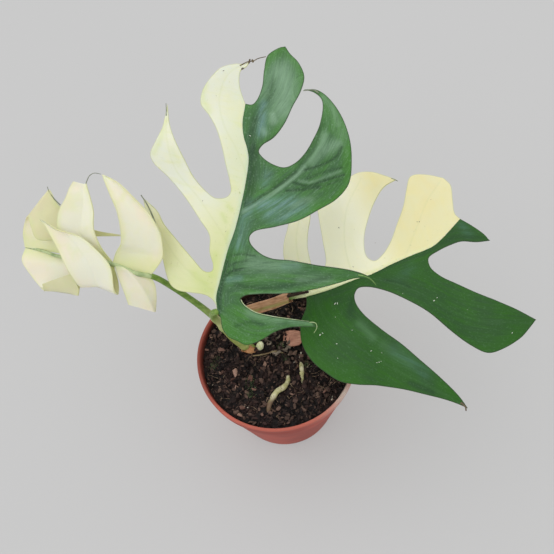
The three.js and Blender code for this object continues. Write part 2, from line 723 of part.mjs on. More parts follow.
// Papery sheath round a stalk: an arc of thin wall on one side of it, seated there and open on the other
function sheathOn({ stalk, from, to, steps, radius, halfTurn, facing }) {
  const parts = 8;
  const section = (t) => {
    const outer = radius(t);
    const inner = outer - SHEATH_THICKNESS;
    const seat = inner - GAP - stalk.radius(THREE.MathUtils.lerp(from, to, t));
    const arc = (wall, start, end) =>
      Array.from({ length: parts + 1 }, (_, k) => {
        const turn = facing + THREE.MathUtils.lerp(start, end, k / parts) * halfTurn;
        const [x, y] = [wall * Math.cos(turn), wall * Math.sin(turn)];
        return [x - seat * Math.cos(facing), y - seat * Math.sin(facing)];
      });
    return [...arc(outer, -1, 1), ...arc(inner, 1, -1)];
  };
  return solid(sweep(curveThrough(stretchOf(stalk.line, from, to)), steps, section));
}

// Roots that lie on the soil: [x, y, height of the middle above the soil], with ends that dip into it
const SURFACE_ROOTS = [
  {
    name: "surface_root_pale",
    thickness: 2.8,
    path: [
      [5, -15, -2], [4, -18, 0.4], [1, -21.5, 0.8], [-3, -24, 0.8], [-6, -27, 0.7], [-8.5, -30.5, 0.5],
      [-10.5, -34, -2],
    ],
  },
  {
    name: "surface_root_short",
    thickness: 2.4,
    path: [[14.5, -4, -2], [14.3, -7, 0.4], [14, -12, 0.8], [13.2, -16.5, 0.4], [12.8, -19.5, -2]],
  },
  {
    name: "surface_root_thin",
    thickness: 1.4,
    path: [
      [-17, 0.5, -1.2], [-14, 0.5, 0.5], [-7, 1.2, 0.6], [0, 1.3, 0.5], [5.5, -0.8, 0.4], [8, -2.5, -1.2],
    ],
  },
];
const rootTube = ({ thickness, path }) => ({
  line: path.map(([x, y, lift]) => [x, y, soilHeight(x, y) + lift]),
  steps: 11,
  radius: () => thickness / 2,
  sides: ROOT_SIDES,
});

// Young shoot: a pale pointed bud that stands against the foot of the stem
const SHOOT = { radius: 2.3, length: 9, lean: 0.25, foot: [-10.6, 7.4, 73.2] };
const SHOOT_PROFILE = [
  [0, 0], [0.6, 0.02], [0.95, 0.2], [1, 0.4], [0.85, 0.62], [0.5, 0.85], [0.18, 0.97], [0, 1],
];
function shootGeometry(grow) {
  const points = SHOOT_PROFILE.map(([r, z]) => {
    const across = r === 0 ? 0 : r * SHOOT.radius + grow;
    return new THREE.Vector2(across, z * SHOOT.length + (2 * z - 1) * grow);
  });
  const bud = new THREE.LatheGeometry(points, 14).rotateX(Math.PI / 2).rotateY(SHOOT.lean);
  return bud.translate(...SHOOT.foot);
}

// Dry husk: a loose curved scale that stands in the soil to the right of the stem
const HUSK = { foot: [5, 9], depth: 0.8, lean: 38, curl: 0.035, cell: 3.5, room: 1.08 };
const HUSK_RING = [
  [[0, -4.5], [4, -5.8], [9, -5], [12, -2], [12.4, 2], [9.5, 5], [5, 6], [0, 4.8]],
  [[0, 4.8], [-0.6, 0], [0, -4.5]],
];
function huskSolid(thickness, grow) {
  const [x, y] = HUSK.foot;
  const place = (u, v) => {
    const lean = THREE.MathUtils.degToRad(HUSK.lean) * (1 - 0.04 * u);
    const z = soilHeight(x, y) - HUSK.depth - HUSK.curl * v * v;
    return new THREE.Vector3(x + u * Math.cos(lean), y - v - 0.1 * u, z + u * Math.sin(lean));
  };
  const middle = 6;
  const grown = ([u, v]) => [middle + (u - middle) * grow, v * grow];
  const ring = HUSK_RING.map((stretch) => stretch.map(grown));
  return solid(sheet(fill(ringOf(ring), HUSK.cell), place, thickness));
}

function piece(name, made, color, roughness) {
  const material = new THREE.MeshStandardMaterial({ color, roughness, metalness: 0 });
  const mesh = new THREE.Mesh(geometryOf(made), material);
  mesh.name = name;
  return mesh;
}

const stemRoom = room(STEM);
const shoot = solid(shootGeometry(0)).subtract(stemRoom);
const holes = [
  stemRoom,
  solid(shootGeometry(GAP)),
  huskSolid(LEAF_THICKNESS + 2 * GAP, HUSK.room),
  ...SURFACE_ROOTS.map((root) => room(rootTube(root))),
];
const soil = holes.reduce((left, hole) => left.subtract(hole), makeSoil());
const centreLeaf = makeCentreLeaf();
const rightLeaf = makeRightLeaf();
const rightSheath = sheathOn({
  stalk: RIGHT_STALK,
  from: 0.24,
  to: 0.8,
  steps: 14,
  radius: taper(3.9, 3),
  halfTurn: 1.9,
  facing: -Math.PI / 2,
});
const stemSheath = sheathOn({
  stalk: { line: STEM.line, radius: () => STEM_RADIUS + 0.6 },
  from: 0.46,
  to: 0.62,
  steps: 8,
  radius: () => STEM_RADIUS + 1.9,
  halfTurn: 1.3,
  facing: Math.PI,
});

const plant = new THREE.Group();
plant.add(
  piece("stem_with_leaf_stalks", makeStem(), 0x5f8a2c, 0.5),
  piece("centre_leaf_green", centreLeaf.green, 0x2f5f38, 0.4),
  piece("centre_leaf_cream", centreLeaf.cream, 0xe4e8c8, 0.5),
  piece("right_leaf_green", rightLeaf.green, 0x2c5d2c, 0.4),
  piece("right_leaf_cream", rightLeaf.cream, 0xe8e2b0, 0.5),
  piece("left_leaf_cream", makeLeftLeaf(), 0xe8e6cd, 0.5),
  piece("right_stalk_sheath", rightSheath, 0xb4845f, 0.7),
  piece("stem_sheath", stemSheath, 0xb07a4c, 0.8),
  piece("young_shoot", shoot, 0xcfd6a0, 0.5),
  piece("dry_husk", huskSolid(LEAF_THICKNESS, 1), 0xa3705f, 0.85),
);

const potted = new THREE.Group();
potted.add(
  piece("pot", makePot(), 0xb04a38, 0.5),
  piece("soil", soil, 0x2b221f, 0.95),
  ...SURFACE_ROOTS.map((root) => piece(root.name, solid(tube(rootTube(root))), 0xb9ab8a, 0.8)),
  plant,
);

export default potted;
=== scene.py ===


# %% [markdown]
# # A young split-leaved aroid in a nursery pot
# The object is a climbing house plant with three split leaves, part cream and part green, in a round
# terracotta-coloured pot of dark soil. The solids of its parts are measured already, so this lesson loads
# them as a frame and dresses each one: finer meshes where the real surface curves, and finishes made of nodes.

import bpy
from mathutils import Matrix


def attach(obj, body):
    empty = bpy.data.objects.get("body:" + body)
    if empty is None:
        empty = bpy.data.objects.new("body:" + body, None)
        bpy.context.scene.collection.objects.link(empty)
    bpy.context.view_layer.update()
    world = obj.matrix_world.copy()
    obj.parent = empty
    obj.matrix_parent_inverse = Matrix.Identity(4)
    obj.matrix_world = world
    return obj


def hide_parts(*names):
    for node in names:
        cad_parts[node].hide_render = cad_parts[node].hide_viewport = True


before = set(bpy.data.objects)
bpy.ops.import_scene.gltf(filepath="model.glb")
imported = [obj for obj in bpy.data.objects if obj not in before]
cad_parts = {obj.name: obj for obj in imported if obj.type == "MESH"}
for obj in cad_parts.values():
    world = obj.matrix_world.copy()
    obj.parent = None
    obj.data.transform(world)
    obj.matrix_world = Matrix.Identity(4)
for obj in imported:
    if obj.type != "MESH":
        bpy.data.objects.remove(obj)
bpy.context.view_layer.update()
print("parts of the plant and pot:", sorted(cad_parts))

# %% [markdown]
# All lengths in the cells are millimetres, because a plant is easiest to think of in them. Blender works in
# metres here, so a mesh is scaled once, when it is made. Everything random comes from one seeded generator,
# so that the plant grows the same way each time.

# %% Units and chance
import math

import bmesh
import bpy
import numpy as np
from mathutils import Matrix, Vector, geometry, noise

MM = 0.001
chance = np.random.default_rng(27)

# %% [markdown]
# ## Camera
# The picture looks down on the pot from the front, steeply enough to see the soil, with the frame turned a
# little. A camera can be aimed with a constraint, but a fixed matrix keeps the small turn exactly as it is.

# %% Camera
LOOK_DOWN = math.radians(59.26)
FRAME_TURN = math.radians(-9.3)
LENS = 650 / 554 * 36

away = Vector((0, -math.cos(LOOK_DOWN), math.sin(LOOK_DOWN)))
level = Vector((1, 0, 0))
upright = away.cross(level)
side = level * math.cos(FRAME_TURN) + upright * math.sin(FRAME_TURN)
head = upright * math.cos(FRAME_TURN) - level * math.sin(FRAME_TURN)

camera = bpy.data.objects.new("camera", bpy.data.cameras.new("camera"))
camera.data.lens = LENS
camera.data.sensor_width = 36
camera.matrix_world = Matrix.Translation(Vector((8.1, -167.2, 451.7)) * MM) @ Matrix((side, head, away)).transposed().to_4x4()
bpy.context.scene.collection.objects.link(camera)
bpy.context.scene.camera = camera
print("lens", round(LENS, 2), "mm")

# %% [markdown]
# ## Writing finishes as sums
# A finish is a network of nodes, and most of its nodes are arithmetic. Wiring them one by one is long and hard
# to read, so a small class wraps a socket and answers to + - * /. An expression such as 1 - mask then adds its
# own Math nodes. Colours are blended with Mix, because a Math node would turn them grey.

# %% Signals
class Signal:
    """A socket that carries a number, a vector or a colour, and can stand in a Python expression."""

    def __init__(self, recipe, socket):
        self.recipe = recipe
        self.socket = socket

    def math(self, operation, *values):
        return self.recipe.node("ShaderNodeMath", {"operation": operation}, dict(enumerate(values)))

    def __add__(self, other):
        return self.math("ADD", self, other)

    def __sub__(self, other):
        return self.math("SUBTRACT", self, other)

    def __rsub__(self, other):
        return self.math("SUBTRACT", other, self)

    def __mul__(self, other):
        return self.math("MULTIPLY", self, other)

    def __pow__(self, other):
        return self.math("POWER", self, other)

    __radd__ = __add__
    __rmul__ = __mul__

    def step(self, low, high):
        """0 below low, 1 above high, and an even slope between them. A low above high turns it round."""
        sockets = {"Value": self, "From Min": low, "From Max": high}
        return self.recipe.node("ShaderNodeMapRange", {"interpolation_type": "SMOOTHSTEP"}, sockets)

    def hill(self, width):
        """1 where the signal is 0, falling away on both sides within about the width."""
        return self.math("EXPONENT", self * self * (-1 / width**2))

# %% Finishes
def tone(red, green, blue):
    """A colour as seen on a screen, from 0 to 255, turned into the light that Blender mixes."""
    return tuple(((c / 255 + 0.055) / 1.055) ** 2.4 if c > 10 else c / 3294.6 for c in (red, green, blue))


class Recipe:
    """A network of nodes, written from Python."""

    def __init__(self, tree):
        self.tree = tree

    def node(self, kind, settings=None, sockets=None, out=0):
        """Adds a node, sets it, feeds its sockets, and gives one of its outputs."""
        made = self.tree.nodes.new(kind)
        for name, value in (settings or {}).items():
            if name == "stops":
                self.set_stops(made.color_ramp.elements, value)
            else:
                setattr(made, name, value)
        for name, value in (sockets or {}).items():
            self.feed(made.inputs[name], value)
        return Signal(self, made.outputs[out])

    def set_stops(self, stops, wanted):
        while len(stops) < len(wanted):
            stops.new(1)
        for stop, (position, colour) in zip(stops, wanted):
            stop.position = position
            stop.color = (*colour, 1)

    def feed(self, socket, value):
        if isinstance(value, Signal):
            self.tree.links.new(value.socket, socket)
        elif isinstance(value, tuple) and socket.type == "RGBA":
            socket.default_value = (*value, 1)
        else:
            socket.default_value = value

    def blend(self, first, second, share):
        """The first colour where share is 0, and the second where it is 1."""
        return self.node("ShaderNodeMix", {"data_type": "RGBA"}, {0: share, 6: first, 7: second}, out=2)

    def parts(self, vector):
        split = self.node("ShaderNodeSeparateXYZ", sockets={0: vector})
        return [Signal(self, socket) for socket in split.socket.node.outputs]

    def layer(self, name):
        """The three numbers that a mesh carries under this name."""
        return self.node("ShaderNodeAttribute", {"attribute_name": name}, out=1)

    def place(self):
        """The place on the object, in metres."""
        return self.node("ShaderNodeTexCoord", out=3)

    def mottle(self, where, scale, detail=3.0, roughness=0.5):
        sockets = {"Vector": where, "Scale": scale, "Detail": detail, "Roughness": roughness}
        return self.node("ShaderNodeTexNoise", sockets=sockets)

    def stretched(self, vector, by):
        return self.node("ShaderNodeVectorMath", {"operation": "MULTIPLY"}, {0: vector, 1: by})


class Finish(Recipe):
    """A material with its nodes: fixed gives the sockets of the surface that stay the same all over."""

    def __init__(self, name, fixed=None):
        self.material = bpy.data.materials.new(name)
        self.material.use_nodes = True
        super().__init__(self.material.node_tree)
        self.surface = self.tree.nodes["Principled BSDF"]
        for socket, value in (fixed or {}).items():
            self.surface.inputs[socket].default_value = value

    def set(self, colour, roughness, height=None, depth=MM, strength=1.0):
        """Feeds the surface: colour, roughness, and a height that becomes a bump of the given depth."""
        self.feed(self.surface.inputs["Base Color"], colour)
        self.feed(self.surface.inputs["Roughness"], roughness)
        if height is not None:
            sockets = {"Strength": strength, "Distance": depth, "Height": height}
            self.feed(self.surface.inputs["Normal"], self.node("ShaderNodeBump", sockets=sockets))
        return self

# %% [markdown]
# ## Lines and meshes
# Leaves and stalks are drawn with a few points each, and a smooth line through them gives the rest. The line
# is the centripetal kind, which passes through its points without loops. It is then cut into even steps, so
# that faces come out alike.

# %% Smooth lines
def smooth_line(points, step=None, count=None):
    """Points at even distances on a smooth line through the given ones, in two or three dimensions."""
    given = np.array(points, float)
    ends = np.vstack([2 * given[0] - given[1], given, 2 * given[-1] - given[-2]])
    knots = np.concatenate([[0], np.cumsum(np.sqrt(np.linalg.norm(np.diff(ends, axis=0), axis=1)))])
    fine = []
    for i in range(1, len(ends) - 2):
        t = np.linspace(knots[i], knots[i + 1], 24, endpoint=False)[:, None]
        a = [ends[j] + (ends[j + 1] - ends[j]) * (t - knots[j]) / (knots[j + 1] - knots[j]) for j in (i - 1, i, i + 1)]
        b = [a[j] + (a[j + 1] - a[j]) * (t - knots[i - 1 + j]) / (knots[i + 1 + j] - knots[i - 1 + j]) for j in (0, 1)]
        fine.append(b[0] + (b[1] - b[0]) * (t - knots[i]) / (knots[i + 1] - knots[i]))
    fine = np.vstack([*fine, ends[-2:-1]])
    along = np.concatenate([[0], np.cumsum(np.linalg.norm(np.diff(fine, axis=0), axis=1))])
    count = count or max(2, round(along[-1] / step))
    even = np.linspace(0, along[-1], count + 1)
    return np.column_stack([np.interp(even, along, fine[:, k]) for k in range(fine.shape[1])])


def distance_to(points, line):
    """How far each point is from a line of straight pieces."""
    nearest = np.full(len(points), np.inf)
    for a, b in zip(line[:-1], line[1:]):
        run = b - a
        share = np.clip(((points - a) @ run) / max(run @ run, 1e-9), 0, 1)
        nearest = np.minimum(nearest, np.linalg.norm(points - a - share[:, None] * run, axis=1))
    return nearest


def is_inside(points, ring):
    inside = np.zeros(len(points), bool)
    for a, b in zip(ring, np.roll(ring, -1, axis=0)):
        spans = (a[1] > points[:, 1]) != (b[1] > points[:, 1])
        rise = b[1] - a[1] if b[1] != a[1] else 1e-9
        inside ^= spans & (points[:, 0] < (b[0] - a[0]) * (points[:, 1] - a[1]) / rise + a[0])
    return inside

# %% Pieces
def new_piece(name, points, faces, finishes, face_finish=None, layers=None, smooth=True):
    """A mesh object from points in millimetres, with its finishes and the numbers that it carries."""
    mesh = bpy.data.meshes.new(name)
    mesh.from_pydata((np.asarray(points, float) * MM).tolist(), [], [list(map(int, f)) for f in faces])
    for finish in finishes:
        mesh.materials.append(finish.material)
    if face_finish is not None:
        mesh.polygons.foreach_set("material_index", np.asarray(face_finish, np.int32))
    for layer, values in (layers or {}).items():
        made = mesh.attributes.new(layer, "FLOAT_VECTOR", "POINT")
        made.data.foreach_set("vector", np.asarray(values, np.float32).ravel())
    mesh.update()
    piece = bpy.data.objects.new(name, mesh)
    bpy.context.scene.collection.objects.link(piece)
    if smooth:
        mesh.shade_smooth()
        mesh.set_sharp_from_angle(angle=math.radians(50))
    print(f"{name}: {len(mesh.vertices)} points, {len(mesh.polygons)} faces")
    return piece


def settle(piece, slot, *nodes):
    """Puts a finished piece on the plant's one body, in place of the solids that it stands for."""
    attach(piece, "root")
    if nodes:
        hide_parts(*nodes)
    return piece


def apply_modifiers(piece):
    """Turns a piece's modifiers into its mesh."""
    graph = bpy.context.evaluated_depsgraph_get()
    made = bpy.data.meshes.new_from_object(piece.evaluated_get(graph))
    piece.modifiers.clear()
    piece.data = made
    return piece

# %% [markdown]
# ## Leaf blades
# A blade is a thin curved sheet. It could be a flat plane with a picture of holes, but its cuts are its whole
# character, so they are in the outline. The outline lies on a flat sheet, u along the midrib and v across it,
# and is filled with small even faces. Each point is then lifted onto the curved surface of the leaf, and again
# by the relief of its veins.

# %% The surface of a blade
class Blade:
    """A blade held out from its base: heading and pitch turn it, roll tips it sideways."""

    def __init__(self, base, heading, pitch, roll, length, arch, keel, droop, wave_length, phases):
        h, p, r = (math.radians(a) for a in (heading, pitch, roll))
        self.base = np.array(base, float)
        self.along = np.array([math.cos(h) * math.cos(p), math.sin(h) * math.cos(p), math.sin(p)])
        sideways = np.array([math.sin(h), -math.cos(h), 0])
        self.across = sideways * math.cos(r) + np.cross(sideways, self.along) * math.sin(r)
        self.above = np.cross(self.across, self.along)
        self.length, self.arch, self.keel, self.droop = length, arch, keel, droop
        self.wave_length, self.phases = wave_length, phases

    def height(self, u, v):
        bow = self.arch * np.sin(np.pi * np.clip(u / self.length, -0.3, 1.2))
        fold = self.keel * (np.sqrt(v * v + 9) - 3)
        phase = np.where(v > 0, self.phases[0], self.phases[1])
        ripple = 1.5 * np.sin(2 * np.pi * u / self.wave_length + phase) * np.minimum(np.abs(v) / 30, 1.5)
        return bow + fold - self.droop(u, v) * v * v + ripple

    def at(self, uv):
        u, v = uv[:, 0], uv[:, 1]
        flat = self.base + np.outer(u, self.along) + np.outer(v, self.across)
        return flat + np.outer(self.height(u, v), self.above)

    def out_of(self, uv):
        """The direction that stands off the upper face."""
        small = 0.05
        du = self.at(uv + [small, 0]) - self.at(uv - [small, 0])
        dv = self.at(uv + [0, small]) - self.at(uv - [0, small])
        off = np.cross(dv, du)
        return off / np.linalg.norm(off, axis=1)[:, None]

# %% Filling an outline
BLADE_CELL = 0.9


def fill_outline(stretches, lines, cell=BLADE_CELL):
    """Even triangles inside a ring of smooth stretches, with edges that follow the lines given."""
    ring = np.vstack([smooth_line(stretch, step=cell * 0.85)[:-1] for stretch in stretches])
    rows = [ring]
    edges = [(i, (i + 1) % len(ring)) for i in range(len(ring))]
    for line in lines:
        start = sum(len(r) for r in rows)
        rows.append(line)
        edges += [(start + i, start + i + 1) for i in range(len(line) - 1)]
    low, high = ring.min(0), ring.max(0)
    x, y = np.meshgrid(np.arange(low[0], high[0], cell), np.arange(low[1], high[1], cell * 0.866))
    x = x + (np.arange(x.shape[0]) % 2)[:, None] * cell / 2
    inner = np.column_stack([x.ravel(), y.ravel()])
    inner = inner[is_inside(inner, ring)]
    for line in [np.vstack([ring, ring[:1]]), *lines]:
        inner = inner[distance_to(inner, line) > cell * 0.55]
    rows.append(inner)
    flat = [Vector(p) for p in np.vstack(rows)]
    made = geometry.delaunay_2d_cdt(flat, edges, [], 1, 1e-4)
    points = np.array([tuple(p) for p in made[0]])
    faces = np.array([f for f in made[2]])
    faces = faces[is_inside(points[faces].mean(1), ring)]
    turn = np.cross(points[faces[:, 1]] - points[faces[:, 0]], points[faces[:, 2]] - points[faces[:, 0]])
    faces[turn < 0] = faces[turn < 0][:, ::-1]
    return points, faces, ring

# %% From a flat sheet to a closed blade
BLADE_THICKNESS = 0.5


def close_sheet(faces, count):
    """Faces of the upper side, the under side, and the rim that joins them: 0, 1 and 2."""
    upper = faces[:, ::-1]
    under = faces + count
    halves = {(a, b) for f in faces for a, b in ((f[0], f[1]), (f[1], f[2]), (f[2], f[0]))}
    border = [(a, b) for a, b in halves if (b, a) not in halves]
    rim = [(a, b, b + count, a + count) for a, b in border]
    kinds = [0] * len(upper) + [1] * len(under) + [2] * len(rim)
    return [*upper.tolist(), *under.tolist(), *sorted(rim)], kinds


def make_blade(name, blade, faces, uv, relief, ridge, layers, finishes):
    """A closed blade from faces of a flat sheet: relief lifts both sides, ridge thickens the under side."""
    used = np.unique(faces)
    renumber = np.zeros(len(uv), int)
    renumber[used] = np.arange(len(used))
    faces, uv = renumber[faces], uv[used]
    middle, off = blade.at(uv), blade.out_of(uv)
    top = middle + off * (relief[used] + BLADE_THICKNESS / 2)[:, None]
    under = middle + off * (relief[used] - BLADE_THICKNESS / 2 - ridge[used])[:, None]
    all_faces, kinds = close_sheet(faces, len(uv))
    doubled = {layer: np.vstack([values[used], values[used]]) for layer, values in layers.items()}
    return new_piece(name, np.vstack([top, under]), all_faces, finishes, kinds, doubled)

# %% [markdown]
# Veins make a leaf look alive. Each lobe has a main vein that runs from the midrib to its tip, with finer ones
# beside it, and the blade bulges a little between them. The veins are lines on the flat sheet. Every point of
# the mesh keeps how far it is from the midrib, from the nearest main vein and from the margin, so the mesh and
# the finishes use the same veins.

# %% Vein relief
def strokes_at(uv, strokes):
    """How strongly the listed strokes mark each point: a stroke has a half width, a strength and a line."""
    marks = np.zeros(len(uv))
    for width, strength, line in strokes:
        away_from = distance_to(uv, smooth_line(line, step=1))
        marks = np.maximum(marks, strength * np.exp(-((away_from / width) ** 2)))
    return marks


def veined(uv, ring, rib, veins, strokes, quilt):
    """Relief in millimetres, and the layers that the finishes read."""
    to_rib = distance_to(uv, rib)
    to_vein = np.min([distance_to(uv, vein) for vein in veins], axis=0)
    to_edge = distance_to(uv, np.vstack([ring, ring[:1]]))
    inside = np.clip(to_edge / 5, 0, 1)
    marks = {kind: strokes_at(uv, strokes.get(kind, [])) for kind in ("light", "dark", "blue", "fresh")}
    relief = np.cos(2 * np.pi * to_vein / 5.2) * quilt(uv, to_rib) * inside
    relief += 0.25 * marks["light"] - 0.4 * marks["dark"]
    relief -= 0.28 * np.exp(-((to_rib / 1.1) ** 2)) + 0.1 * np.exp(-((to_vein / 0.9) ** 2)) * inside
    relief -= 0.12 * (1 - np.clip(to_edge / 1.2, 0, 1))
    ridge = 1.1 * np.exp(-((to_rib / 1.0) ** 2)) + 0.4 * np.exp(-((to_vein / 0.7) ** 2)) * inside
    ridge *= np.clip(to_edge / 1.5, 0, 1)
    # The marks layer carries the light marks, pale veins with painted highlights, the dark marks, painted shade in
    # creases, and the blue marks, painted sheen.
    return relief, ridge, {
        "sheet": np.column_stack([uv, to_edge]),
        "veins": np.column_stack([to_rib, to_vein, marks["fresh"]]),
        "marks": np.column_stack([marks["light"], marks["dark"], marks["blue"]]),
    }

# %% [markdown]
# ### Centre leaf
# The largest leaf rises away to the back. Its right side and tip are green and its left side is cream, with the
# line between them along the midrib. The whole sheet is filled at once and then split along that line, so the
# two halves meet without a gap.

# %% Outline of the centre leaf
centre_blade = Blade(
    base=(-28.3, 9.5, 128), heading=63.4, pitch=26.6, roll=-4, length=160, arch=9, keel=0.16,
    droop=lambda u, v: np.where(v > 0, 0.003, 0.003 + 0.0028 * np.exp(-(((u - 38) / 22) ** 2))),
    wave_length=46, phases=(0.6, 2.2),
)
CENTRE_COLOUR_LINE = [
    (117, -12.3), (106, -11), (98, -8), (92.5, -4.7), (87, -2.3), (75, -0.7), (58, 0), (46, -0.3), (35, -1.6),
    (17.5, -2.3), (7.5, -2.4), (-0.5, 0),
]
CENTRE_GREEN = [
    [(-0.5, 0), (-3.5, 2.7), (-9, 5), (-12.7, 9.5), (-13.7, 15), (-14.5, 20.5), (-11, 26.5), (-7.5, 30.5),
     (-3, 35), (1.5, 42.5), (4, 50.5), (5.6, 57.2)],
    [(5.6, 57.2), (7.3, 53.5), (6, 42), (4.8, 30), (4.8, 21.5), (7.3, 14.3), (9.6, 11.8), (12.2, 13.8),
     (15.5, 22.5), (18.7, 34.5), (24.6, 49.2), (32, 62.7), (37, 71.5), (38, 77), (36.8, 82.5)],
    [(36.8, 82.5), (39.6, 77), (40.3, 68), (38.3, 48), (37.5, 34.5), (36, 24), (37.2, 17), (41.2, 10.4),
     (44.5, 9), (48, 11), (53, 22), (59.5, 34), (68, 43), (76.5, 51), (86, 55.3), (98.5, 53.7), (111, 49),
     (123.3, 40.6), (131, 31), (133.2, 24.5), (132, 18)],
    [(132, 18), (131.4, 24), (128, 29.2), (115, 31.6), (105.4, 30.7), (96.6, 28.4), (90, 24.4), (86.2, 19),
     (86.5, 12.2), (89.3, 5.2), (92.2, 2.2), (96, 3.4), (101.5, 8.7), (110, 12.3), (121.5, 14.2), (131, 16.3),
     (139.5, 16), (147, 10.7), (152, 4), (156, 0)],
    [(156, 0), (154.2, -3.3), (148.2, -8.1), (138.6, -7.5), (129, -5.9), (121, -6.6), (117.5, -8.5), (117, -12.3)],
]
CENTRE_CREAM = [
    [(117, -12.3), (120.7, -15), (126, -18.1), (131, -19.7), (135.3, -20), (138.3, -17.7), (141.8, -16.6)],
    [(141.8, -16.6), (139.8, -19.8), (138.1, -25.6), (135, -31), (128, -35.6), (119, -39), (112, -38),
     (106.5, -31.5), (99, -24.3), (90, -18.5), (80, -13.5), (72, -9.4), (66.7, -7.5), (63.3, -9), (61.2, -15),
     (63.5, -21), (70, -30.5), (79, -38.4), (88, -46), (97.5, -52.8), (108.5, -58.5)],
    [(108.5, -58.5), (101, -57), (93.5, -55.7), (85.5, -57.2), (77.5, -59.4), (73.5, -57), (66.5, -45.2),
     (57.5, -32.5), (47, -20.5), (40, -13.4), (31, -11.4), (24.5, -8), (21.3, -8), (20, -12), (25.6, -21),
     (34, -33), (40.5, -42), (47, -48.5), (52.6, -60)],
    [(52.6, -60), (45, -56), (33, -47), (22, -39.5), (13.5, -34.5), (7.5, -29.5), (5.7, -24), (6.5, -16),
     (7, -8), (4.5, -2.8), (-0.5, 0)],
]

